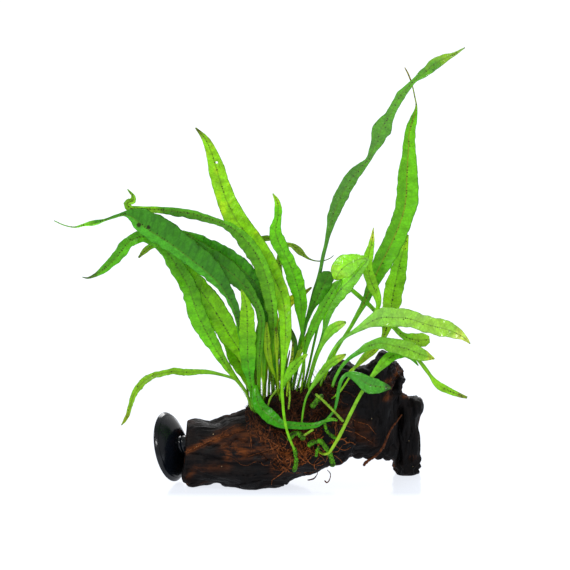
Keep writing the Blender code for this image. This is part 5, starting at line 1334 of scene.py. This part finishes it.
leafLooks = {
    "leaf_low_arch": {"colours": ("#81B021", "#74B41E", "#86BC18", "#8FA814"), "dots": 0.1, "wave": 7.0,
                      "turn": (0, 30), "teeth": 3.2, "scallop": 0.24, "ruffle": 0.08, "aside": -0.18},
    "leaf_left_whip": {"colours": ("#93CA1F", "#3F8C1C", "#439220", "#7CC82A"), "paintedHalves": (1.55, 0.94),
                       "rib": -0.42, "dots": 0.6, "spots": 0.5, "endFrom": 0.9,
                       "widen": 1.12, "widenFrom": (0.3, 0.6), "aside": 0.1,
                       "burns": ((-70.5, 152.3, 1.9), (-65.0, 151.0, 1.8))},
    "leaf_left_droop": {"colours": ("#9BD21D", "#72C814", "#5CB418", "#4A7E12"), "paintedHalves": (1.1, 0.9),
                        "dots": 0.9, "widen": 1.06, "widenFrom": (0.08, 0.3), "aside": 0.08},
    "leaf_left_inner": {"colours": ("#AAD81A", "#8CD60F", "#84CC14", "#8CB41E"), "dots": 1.0, "widen": 1.3,
                        "widenFrom": (0.06, 0.25), "aside": -0.1},
    "leaf_left_short": {"colours": ("#AADA18", "#8ED80E", "#88D20F", "#74BC0F"), "widen": 1.6,
                        "widenFrom": (0.08, 0.3)},
    "leaf_left_broad": {"colours": ("#6FBC14", "#4CB410", "#8CD20F", "#9BD812"), "dots": 0.9},
    "leaf_left_shaded": {"colours": ("#98DC1E", "#66B818", "#3C8812", "#347E10"), "dots": 0.3},
    "leaf_left_lit": {"colours": ("#8CD41C", "#52A816", "#368212", "#4C941A"), "paintedHalves": (0.85, 1.4),
                      "widen": 1.15, "widenFrom": (0.08, 0.3)},
    "leaf_curled_tip": {"colours": ("#7CBC17", "#74C41A", "#4C961A", "#84C424"), "paintedHalves": (0.8, 1.15),
                        "dots": 1.0, "rib": 0.2, "wave": 6.0, "ruffle": 0.2, "least": 4.0, "endFrom": 0.86,
                        "widen": 1.4, "aside": -0.33},
    "leaf_tall_left": {"colours": ("#84CA1A", "#82D010", "#92D41A", "#6C7A16"), "patch": "#B8E41E",
                       "dots": 0.7, "holes": ((-26.8, 188.5),), "endFrom": 0.98,
                       "ruffle": 0.09, "scallop": 0.08, "aside": -0.07},
    "leaf_young_1": {"colours": ("#98C818", "#A2D414", "#A8D818", "#98B81A")},
    "leaf_young_2": {"colours": ("#98C818", "#9ECE14", "#98C014", "#5D5D12")},
    "leaf_young_3": {"colours": ("#98C018", "#A2CA16", "#98BC16", "#6A6D12"), "dots": 0.8},
    "leaf_middle_twist": {"colours": ("#A2D120", "#6CC810", "#74D214", "#A2D620"), "wave": 7.0,
                          "widen": 1.08, "aside": -0.08},
    "leaf_olive_thread": {"colours": ("#94B82A", "#98C030", "#86A82E", "#98B848"), "spots": 1.0, "dots": 0.9},
    "leaf_middle_hook": {"colours": ("#7EC51A", "#7FCA18", "#7CAD1F", "#6F941A")},
    "leaf_yellow_tip": {"colours": ("#C1CE21", "#DED529", "#D3DE21", "#B8B523")},
    "leaf_young_4": {"colours": ("#6FA517", "#4C8E13", "#407E12", "#345D0F")},
    "leaf_young_5": {"colours": ("#A2C81A", "#A0CC16", "#98B416", "#7C6D12"), "dots": 1.0},
    "leaf_front_lying": {"colours": ("#62A814", "#3C9C06", "#3CA008", "#5CB018"), "roughness": 0.26,
                         "ruffle": 0.1},
    "leaf_front_short": {"colours": ("#88CC20", "#74C61A", "#82CC1E", "#98D423")},
    "leaf_tallest": {"colours": ("#62A418", "#4A8E1C", "#5FA91E", "#8CBC24"), "roughness": 0.22, "shine": 0.7,
                     "dots": 0.15, "spots": 0.8, "wave": 12.0, "teeth": 7.0, "scallop": 0.16, "widen": 1.12,
                     "aside": -0.05},
    "leaf_tall_right": {"colours": ("#90CA20", "#63B41A", "#74CA14", "#93A520"), "paintedHalves": (0.86, 1.03),
                        "ribColour": "#A0702A", "dots": 0.7, "rib": -0.12, "ruffle": 0.1, "scallop": 0.11},
    "leaf_right_behind": {"colours": ("#93BE20", "#9BC818", "#81CE17", "#A2D620"), "dots": 1.0},
    "leaf_folded": {"colours": ("#A2D120", "#6CC81A", "#96E42A", "#A8E82A"), "roughness": 0.2, "shine": 0.8,
                    "sway": 3.0, "fold": -0.3, "dots": 0.1, "spots": 0.1},
    "leaf_right_small": {"colours": ("#A5D120", "#81CE18", "#90D620", "#CADE3E")},
    # painted highlight: this leaf's pale patch stands for its glossy sheen
    "leaf_big_arch": {"colours": ("#87CA1D", "#7CCC36", "#A4DA3C", "#D6E84A"), "patch": "#B8E868",
                      "roughness": 0.18, "shine": 0.9, "wave": 8.0},
    "leaf_lower_arch": {"colours": ("#78C220", "#4AAA22", "#86C62C", "#C4DA34"), "roughness": 0.24,
                        "shine": 0.5},
    "leaf_right_bent": {"colours": ("#7CBE1D", "#6AB91C", "#7CC422", "#98CC30")},
    "leaf_right_hanging": {"colours": ("#81BE18", "#84C01C", "#8CCC20", "#8CA42A"), "dots": 1.0},
    "leaf_front_stalk": {"colours": ("#A2C82C", "#8FC429", "#6CC618", "#5DB914"), "forward": -2.5},
    "leaf_crag_dark": {"colours": ("#62A81D", "#3A9A12", "#4CA828", "#2C6414"), "roughness": 0.2,
                       "shine": 0.5, "ruffle": 0.09, "forward": 6.0},
    "leaf_yellow_end": {"colours": ("#80BE20", "#66B81E", "#7CC024", "#A8CC34")},
    "leaf_lime_short": {"colours": ("#88C420", "#76C424", "#80CA2A", "#9CD038"), "widen": 1.25},
    "leaf_right_inner": {"colours": ("#86C61C", "#66BC18", "#60B418", "#5AAD18")},
    "leaf_right_shaded": {"colours": ("#88C81E", "#66B81E", "#54A41C", "#4A8E1A"), "dots": 0.8,
                          "widen": 1.22, "aside": -0.12},
}


def leafMaterial(name, look):
    # living fern leaf: thin, leathery and wet, so light comes through it and the top has a soft shine
    material, add = newMaterial(name)
    place = add("Attribute", out=1, attribute_name="leafPlace")
    share = add("Attribute", out=1, attribute_name="leafShare")
    acrossMm = add("SeparateXYZ", place)
    alongMm = acrossMm.node.outputs[1]
    acrossShare = add("SeparateXYZ", share)
    alongShare, blade = acrossShare.node.outputs[1], acrossShare.node.outputs[2]
    fromRib = add("Math", acrossMm, operation="ABSOLUTE")
    toEdge = add("Math", acrossShare, operation="ABSOLUTE")
    # mottling, in patches of about 8 mm and of 1.5 mm
    broad = add("TexNoise", {"Vector": place, "Scale": 0.12, "Detail": 2.0, "Roughness": 0.55})
    fine = add("TexNoise", {"Vector": place, "Scale": 0.65, "Detail": 4.0, "Roughness": 0.6})
    shifted = add("Math", broad, 0.22, -0.11, operation="MULTIPLY_ADD")
    at = add("Math", alongShare, shifted, operation="ADD")
    colour = add("ValToRGB", at)
    foot, middle, tip, end = look["colours"]
    stops = colour.node.color_ramp.elements
    stops[0].color, stops[1].color = hexColour(foot), hexColour(end)
    for position, code in ((0.32, middle), (0.8, tip), (look["endFrom"] - 0.04, tip), (look["endFrom"], end)):
        stops.new(position).color = hexColour(code)
    if look["patch"]:
        # larger patches: yellowing on some leaves, and on others a pale painted sheen
        there = add("MapRange", broad, 0.54, 0.7, 0.0, 0.8, interpolation_type="SMOOTHSTEP")
        there = add("Math", there, blade, operation="MULTIPLY")
        colour = add("Mix", {0: there, 6: colour, 7: look["patch"]}, out=2, data_type="RGBA")
    # brightness: painted light and shade on each side of the midrib, the mottling, and darker lines over the
    # side veins
    half = add("MapRange", acrossShare, -0.12, 0.12, *look["paintedHalves"], interpolation_type="SMOOTHSTEP")
    uneven = add("MapRange", fine, 0.3, 0.7, 0.86, 1.13)
    slanted = add("Math", fromRib, -0.55, alongMm, operation="MULTIPLY_ADD")
    bent = add("Math", broad, 5.0, slanted, operation="MULTIPLY_ADD")
    turned = add("Math", bent, 2 * math.pi / leafForm["veinGap"], operation="MULTIPLY")
    wave = add("Math", turned, operation="SINE")
    vein = add("MapRange", wave, 0.8, 1.0, interpolation_type="SMOOTHSTEP")
    net = add("TexVoronoi", {"Vector": place, "Scale": 0.5}, voronoi_dimensions="2D",
              feature="DISTANCE_TO_EDGE")
    net = add("MapRange", net, 0.0, 0.12, 1.0, 0.0)
    lines = add("Math", vein, net, operation="MAXIMUM")
    lines = add("Math", lines, blade, operation="MULTIPLY")
    lineShade = add("Math", lines, -0.16, 1.0, operation="MULTIPLY_ADD")
    # painted shade and light for the margin's waves, which are some 9 mm long: deeper green in their troughs
    # and a little lighter on their crests
    waveShadeNoise = add("TexNoise", {"Vector": place, "Scale": 0.22, "Detail": 1.0})
    paintedWaveShade = add("MapRange", waveShadeNoise, 0.36, 0.6, 0.84, 1.07)
    bright = half
    for factor in (uneven, paintedWaveShade, lineShade):
        bright = add("Math", bright, factor, operation="MULTIPLY")
    colour = add("VectorMath", {0: colour, "Scale": bright}, operation="SCALE")
    # the margin is a little darker, the midrib a thin line with dark dots, and spots are scattered over all
    margin = add("MapRange", toEdge, 0.88, 1.0, 0.0, 0.3, interpolation_type="SMOOTHSTEP")
    rib = add("MapRange", fromRib, 0.16, 0.42, 0.5, 0.0, interpolation_type="SMOOTHSTEP")
    squeezed = add("VectorMath", place, (0.3, 1.0, 1.0), operation="MULTIPLY")
    cells = add("TexVoronoi", {"Vector": squeezed, "Scale": 0.95}, voronoi_dimensions="2D")
    cellColour = add("SeparateXYZ", cells.node.outputs["Color"])
    chosen = add("Math", cellColour, look["dots"], operation="LESS_THAN")
    beside = add("MapRange", fromRib, 0.4, 0.6, 1.0, 0.0)
    dot = add("MapRange", cells, 0.14, 0.3, 1.0, 0.0)
    for factor in (chosen, beside):
        dot = add("Math", dot, factor, operation="MULTIPLY")
    specks = add("TexVoronoi", {"Vector": place, "Scale": 0.16}, voronoi_dimensions="2D")
    speckColour = add("SeparateXYZ", specks.node.outputs["Color"])
    speckThere = add("Math", speckColour, look["spots"] * 0.5, operation="LESS_THAN")
    speck = add("MapRange", specks, 0.03, 0.075, 1.0, 0.0)
    speck = add("Math", speck, speckThere, operation="MULTIPLY")
    dark = add("Math", dot, speck, operation="MAXIMUM")
    margin, rib, dark = (add("Math", mask, blade, operation="MULTIPLY") for mask in (margin, rib, dark))
    if look["burns"]:
        burn = add("Attribute", out=2, attribute_name="leafBurn")
        burn = add("MapRange", burn, 0.1, 0.45, 0.0, 0.95)
        dark = add("Math", dark, burn, operation="MAXIMUM")
    for mask, part in ((margin, "margin"), (rib, "rib"), (dark, "spot")):
        colour = add("Mix", {0: mask, 6: colour, 7: look[part + "Colour"]}, out=2, data_type="RGBA")
    # relief: the lines lie low between swellings, with fine leathery unevenness
    height = add("Math", lines, -0.5, fine, operation="MULTIPLY_ADD")
    bump = add("Bump", {"Height": height, "Strength": 0.55, "Distance": 0.00022})
    gloss = add("MapRange", fine, 0.3, 0.7, look["roughness"] - 0.07, look["roughness"] + 0.1)
    front = add("BsdfPrincipled", {"Base Color": colour, "Roughness": gloss, "IOR": 1.42,
                                   "Specular IOR Level": look["shine"], "Normal": bump})
    through = add("BsdfTranslucent", {"Color": colour, "Normal": bump})
    both = add("MixShader", 0.34, front, through)
    add("OutputMaterial", {"Surface": both})
    return material


def addLeaves():
    fine = [smoothPath(points, leafForm["sample"]) for *_, points in leafTable]
    moved = settle(fine)
    for number, (row, samples, shifts) in enumerate(zip(leafTable, fine, moved), 1):
        name, tone, points = row
        look = {**usualLook, **leafLooks[name]}
        path = smoothPath(leafPath(samples, shifts, points), leafForm["step"])
        path = [(across, up, back - look["forward"] * smoothStep(i / len(path), 0.15, 0.5), width)
                for i, (across, up, back, width) in enumerate(path)]
        sections = leafSections(path, look, number)
        words = name.split("_")[1:]
        title = camelCase([*words, "leaf"])
        mesh = leafMesh(title, [sections], look["holes"])
        material = leafMaterial("fern leaf " + " ".join(words), look)
        newPiece(title, mesh, [material], (name,))
        print("leaf", title, len(mesh.polygons))


# Young fronds and bare stalks between the feet of the big leaves, past the number of the solids.
frondForm = {
    "seed": 8,
    "ground": ((-9, 16), (-7, 20)),  # the part of the mat that they stand on: from and to, in x and in y
    "step": 1.2,
    "stalk": 0.75,
    "kinds": (  # name, colours, slot, count, height, width of the blade
        ("limeFronds", ("#86B82A", "#A4D422", "#A8D828", "#8FB02A"), "leaf_lime", 13, (20, 44), (2.2, 4.4)),
        ("freshFronds", ("#6AA824", "#62B41C", "#6CBC20", "#7FA028"), "leaf_fresh", 11, (24, 50), (2.4, 4.8)),
        ("oliveFronds", ("#82AC24", "#90B420", "#88A41C", "#5A4A18"), "leaf_olive", 5, (14, 30), (1.4, 2.6)),
        ("bareStalks", ("#5A8A1E", "#7FA826", "#8CA82A", "#4A3414"), "fern_stem", 26, (8, 30), (0.5, 0.9)),
    ),
}


def frondPath(rng, foot, heights, widths):
    # rises from a foot on the mat, leaning away from the middle, and starts four steps down inside it
    across, back = foot.x - acrossShift, foot.y - backShift
    up = seenUp(back, foot.z)
    height, width = rng.uniform(*heights), rng.uniform(*widths)
    lean = rng.gauss(0.008 * (across - 4), 0.09)
    bend = rng.gauss(0, 0.12)
    stalk = frondForm["stalk"]
    path = []
    for step in range(-4, round(height / frondForm["step"]) + 1):
        rise = step * frondForm["step"]
        share = max(0.0, rise / height)
        swell = smoothStep(share, 0.25, 0.6) * (1 - smoothStep(share, 0.72, 1.0))
        path.append((across + rise * (lean + bend * share), up + rise,
                     back + step * 0.3 * rng.uniform(0.9, 1.1),
                     stalk + (width - stalk) * swell - 0.45 * smoothStep(share, 0.85, 1.0)))
    return path


def addFronds():
    rng = random.Random(frondForm["seed"])
    (left, right), (front, behind) = frondForm["ground"]
    crown = [v.co for v in rootMat.vertices
             if v.normal.z > 0.55 and left < v.co.x / mm < right and front < v.co.y / mm < behind]
    number = 100
    for title, colours, slot, count, heights, widths in frondForm["kinds"]:
        look = {**usualLook, "colours": colours, "dots": 0.9, "wave": 6.0}
        leaves = []
        for _ in range(count):
            number += 1
            path = frondPath(rng, crown[rng.randrange(len(crown))] / mm, heights, widths)
            turn = rng.uniform(-50, 50)
            twisted = {**look, "turn": (turn, turn + rng.uniform(-40, 40))}
            leaves.append(leafSections(path, twisted, number))
        mesh = leafMesh(title, leaves)
        words = "fern leaf young " + title if slot != "fern_stem" else "thin bare stalks"
        newPiece(title, mesh, [leafMaterial(words, look)])
        print(title, len(mesh.polygons))


addLeaves()
addFronds()

# Stems, stalks and single roots: the finish, the swelling along them and its wave in millimetres, how lumpy
# the skin is, the step between their rings, and the dark, light and scar colours.
stemLooks = {
    "rhizome": {"finish": "green rhizome skin", "slot": "fern_stem", "swell": 0.14, "wave": 3.6, "lump": 0.5,
                "step": 0.35, "colours": ("#1E3406", "#4E960C", "#24180A")},
    "stalk": {"finish": "bare fern stalk", "slot": "fern_stem", "swell": 0.05, "wave": 5.0, "lump": 0.2,
              "step": 0.6, "colours": ("#5A8A1E", "#7AA826", "#5A5A1E")},
    "root": {"finish": "woody root bark", "slot": "woody_root", "swell": 0.2, "wave": 1.6, "lump": 0.5,
             "step": 0.4, "colours": ("#241009", "#5E3014", "#3A1C0C")},
}
tubeSides = 14
tubeEnds = ((0.5, 0.866), (0.85, 0.527))  # how far out a rounded end's rings lie, and how wide they are


def tubeMesh(name, points, radii, lump, seed):
    # a closed tube of changing radius with rounded ends; lump roughens its skin
    rings = []
    frameX = (points[1] - points[0]).normalized().cross(toViewer).normalized()
    for i, point in enumerate(points):
        tangent = (points[min(i + 1, len(points) - 1)] - points[max(i - 1, 0)]).normalized()
        frameX = (frameX - tangent * frameX.dot(tangent)).normalized()
        frameY = tangent.cross(frameX)
        ring = []
        for k in range(tubeSides):
            a = 2 * math.pi * k / tubeSides
            out = frameX * math.cos(a) + frameY * math.sin(a)
            rough = 1 + lump * noise.noise((point + out * radii[i]) / mm * 1.1 + Vector((seed, 0, 0)))
            ring.append(point + out * radii[i] * rough)
        rings.append(ring)
    for end, before in ((0, 1), (-1, -2)):
        tangent = (points[end] - points[before]).normalized()
        caps = [[points[end] + tangent * radii[end] * out + (p - points[end]) * wide for p in rings[end]]
                for out, wide in tubeEnds]
        rings = caps[::-1] + rings if end == 0 else rings + caps
    return loftMesh(name, rings)


def stemMaterial(look):
    # living stem or root skin: mottled, satin, with scars and scales about 1 mm across
    material, add = newMaterial(look["finish"])
    dark, light, scarred = look["colours"]
    place = add("TexCoord", out=3)
    broad = add("TexNoise", {"Vector": place, "Scale": 330.0, "Detail": 3.0, "Roughness": 0.6})
    fine = add("TexNoise", {"Vector": place, "Scale": 1300.0, "Detail": 3.0})
    scales = add("TexVoronoi", {"Vector": place, "Scale": 1000.0}, feature="DISTANCE_TO_EDGE")
    share = add("MapRange", broad, 0.35, 0.62)
    scar = add("MapRange", fine, 0.5, 0.6, 0.0, 0.85)
    colour = add("Mix", {0: share, 6: dark, 7: light}, out=2, data_type="RGBA")
    colour = add("Mix", {0: scar, 6: colour, 7: scarred}, out=2, data_type="RGBA")
    relief = add("Math", scales, 0.6, fine, operation="MULTIPLY_ADD")
    bump = add("Bump", {"Height": relief, "Strength": 0.6, "Distance": 0.0003})
    shader = add("BsdfPrincipled", {"Base Color": colour, "Roughness": 0.5, "IOR": 1.42,
                                    "Specular IOR Level": 0.12, "Normal": bump})
    add("OutputMaterial", {"Surface": shader})
    return material


def addStems():
    materials = {kind: stemMaterial(look) for kind, look in stemLooks.items()}
    for number, (name, (diameter, path)) in enumerate(tubePaths.items()):
        words = name.split("_")
        look = stemLooks[words[0]]
        points = [spot(*point) for point in smoothPath(path, look["step"])]
        radii = [diameter / 2 * mm * (1 + look["swell"] * wander(i * look["step"], look["wave"], number))
                 for i in range(len(points))]
        if words[0] == "root":  # thinner towards its top
            low, high = min(p.z for p in points), max(p.z for p in points)
            radii = [r * (1 - 0.5 * (p.z - low) / (high - low)) for p, r in zip(points, radii)]
        mesh = tubeMesh(name, points, radii, look["lump"], number)
        newPiece(camelCase(words), mesh, [materials[words[0]]], (name,))
    print("stems", len(tubePaths))


addStems()

# Suction cup: sizes in millimetres; its rim's centre is (across, up, back).
cupForm = {
    "diameter": 40.0,
    "depth": 6.6,
    "height": 8.0,  # from the rim to the neck
    "neckDiameter": 9.7,
    "neckLength": 9.0,
    "rimCentre": (-54.0, 25.65, 4.0),
    "planDegrees": 23.0,  # how far the mouth turns away from the viewer
    "dipDegrees": 13.6,
    "around": 112,
    "colours": ("#040506", "#0B1018"),
}


def cupProfile():
    # (radius, height) down the outer side and back up the inside; the mouth looks down at height 0
    rim, neck, height = cupForm["diameter"] / 2, cupForm["neckDiameter"] / 2, cupForm["height"]
    top = height + cupForm["neckLength"]
    outer = [(0.0, top), (neck - 0.5, top), (neck, top - 0.5)]
    # a bead round the neck, and a small step where the bell begins
    outer += [(neck + out, height + up) for out, up in (
        (0, 3.4), (0.35, 3.1), (0.35, 1.9), (0, 1.6), (0, 0.7), (0.25, 0.25))]
    for step in range(1, 30):
        share = step / 30
        bell = height * (1 - share ** 1.7) + 0.8 * share
        ring = 0.22 * math.exp(-((share - 0.9) / 0.018) ** 2)  # a faint moulded ring near the lip
        outer.append((neck + (rim - neck) * share, bell + ring))
    inner = [(rim - 0.12, 0.75), (rim, 0.5), (rim - 0.06, 0.2), (rim - 0.3, 0.0), (rim - 0.8, 0.0)]
    for step in range(30, 0, -1):
        share = step / 31
        inner.append(((rim - 1.2) * share, cupForm["depth"] * (1 - share ** 2)))
    inner.append((0.0, cupForm["depth"]))
    return outer + inner


def rubberMaterial():
    # moulded soft PVC, black: a clean gloss with faint moulding waves and a little dust
    material, add = newMaterial("glossy black rubber")
    place = add("TexCoord", out=3)
    broad = add("TexNoise", {"Vector": place, "Scale": 90.0, "Detail": 2.0})
    fine = add("TexNoise", {"Vector": place, "Scale": 900.0, "Detail": 3.0})
    first, second = cupForm["colours"]
    colour = add("Mix", {0: broad, 6: first, 7: second}, out=2, data_type="RGBA")
    gloss = add("MapRange", fine, 0.3, 0.7, 0.14, 0.24)
    bump = add("Bump", {"Height": broad, "Strength": 0.25, "Distance": 0.0006})
    shader = add("BsdfPrincipled", {"Base Color": colour, "Roughness": gloss, "IOR": 1.5,
                                    "Specular IOR Level": 0.28, "Normal": bump})
    add("OutputMaterial", {"Surface": shader})
    return material


def addCup():
    profile = cupProfile()
    plan, dip = math.radians(cupForm["planDegrees"]), math.radians(cupForm["dipDegrees"])
    mouth = Vector((-math.cos(plan) * math.cos(dip), math.sin(plan) * math.cos(dip), -math.sin(dip)))
    turn = (-mouth).to_track_quat("Z", "Y").to_matrix()
    centre = spot(*cupForm["rimCentre"])
    count = cupForm["around"]
    points = [centre + turn @ Vector((0, 0, profile[0][1])) * mm]
    for radius, height in profile[1:-1]:
        for k in range(count):
            a = 2 * math.pi * k / count
            points.append(centre + turn @ Vector((radius * math.cos(a), radius * math.sin(a), height)) * mm)
    points.append(centre + turn @ Vector((0, 0, profile[-1][1])) * mm)
    rings = len(profile) - 2
    faces = []
    for k in range(count):
        n = (k + 1) % count
        faces.append((0, 1 + k, 1 + n))
        for r in range(rings - 1):
            a, b = 1 + r * count, 1 + (r + 1) * count
            faces.append((a + k, b + k, b + n, a + n))
        a = 1 + (rings - 1) * count
        faces.append((a + n, a + k, len(points) - 1))
    mesh = smoothMesh("suction cup", points, faces)
    newPiece("suctionCup", mesh, [rubberMaterial()], ("suction_cup",))
    print("suction cup", len(mesh.polygons))


addCup()

# Studio: a white room, big soft lamps and a pale glossy table.
studio = {
    "room": 0.62,  # brightness of the white room
    "tableHalf": 9.0,  # half the table's width, in metres
    "tableColour": "#5E646C",
    "tableRoughness": 0.15,
    "glowColour": "#E8EBF2",  # painted light: the table glows, though no lamp is under it, and glows more near the object
    "paintedTableGlow": 0.95,
    "nearGlow": 1.4,
    "tableGloss": 0.5,
    "glossTo": (-52.0, -24.0),  # the gloss fades out towards the viewer between these depths
    "lamps": (  # name, place in metres, size in metres, watts
        ("keyLamp", (-0.9, -0.7, 1.3), 0.45, 20.0),
        ("stripLamp", (0.8, -1.0, 0.8), 0.22, 4.0),
        ("backLamp", (0.3, 1.1, 1.0), 0.8, 15.0),
    ),
}


def tableMaterial():
    # polished white acrylic: pale, with a soft mirror image close under the object, and a painted glow,
    # stronger near the object, that lightens the shadows there
    material, add = newMaterial("white acrylic table")
    back = add("SeparateXYZ", add("TexCoord", out=3), out=1)
    edges = [depth * mm for depth in studio["glossTo"]]
    gloss = add("MapRange", back, *edges, 0.0, studio["tableGloss"])
    # painted light: the table glows, more strongly near the object, which lightens the shadows under it
    paintedGlow = add("MapRange", back, *edges, studio["nearGlow"], studio["paintedTableGlow"])
    shader = add("BsdfPrincipled", {
        "Base Color": studio["tableColour"], "Roughness": studio["tableRoughness"], "IOR": 1.49,
        "Specular IOR Level": gloss, "Emission Color": studio["glowColour"], "Emission Strength": paintedGlow})
    add("OutputMaterial", {"Surface": shader})
    return material


def addStudio():
    world = bpy.data.worlds.new("white room")
    world.use_nodes = True
    air = world.node_tree.nodes["Background"].inputs
    air["Color"].default_value = (1.0, 1.0, 1.0, 1.0)
    air["Strength"].default_value = studio["room"]
    bpy.context.scene.world = world
    bpy.context.scene.view_settings.view_transform = "Standard"
    for name, place, size, watts in studio["lamps"]:
        data = bpy.data.lights.new(name, "AREA")
        data.shape = "DISK"
        data.size = size
        data.energy = watts
        lamp = newObject(name, data)
        lamp.location = place
        lamp.rotation_euler = (Vector(place) - Vector((0, 0, 0.1))).to_track_quat("Z", "Y").to_euler()
    table = bpy.data.meshes.new("table")
    far = studio["tableHalf"]
    table.from_pydata([(-far, -far, 0), (far, -far, 0), (far, far, 0), (-far, far, 0)], [], [(0, 1, 2, 3)])
    table.materials.append(tableMaterial())
    newObject("table", table)


addStudio()
print("studio lit")
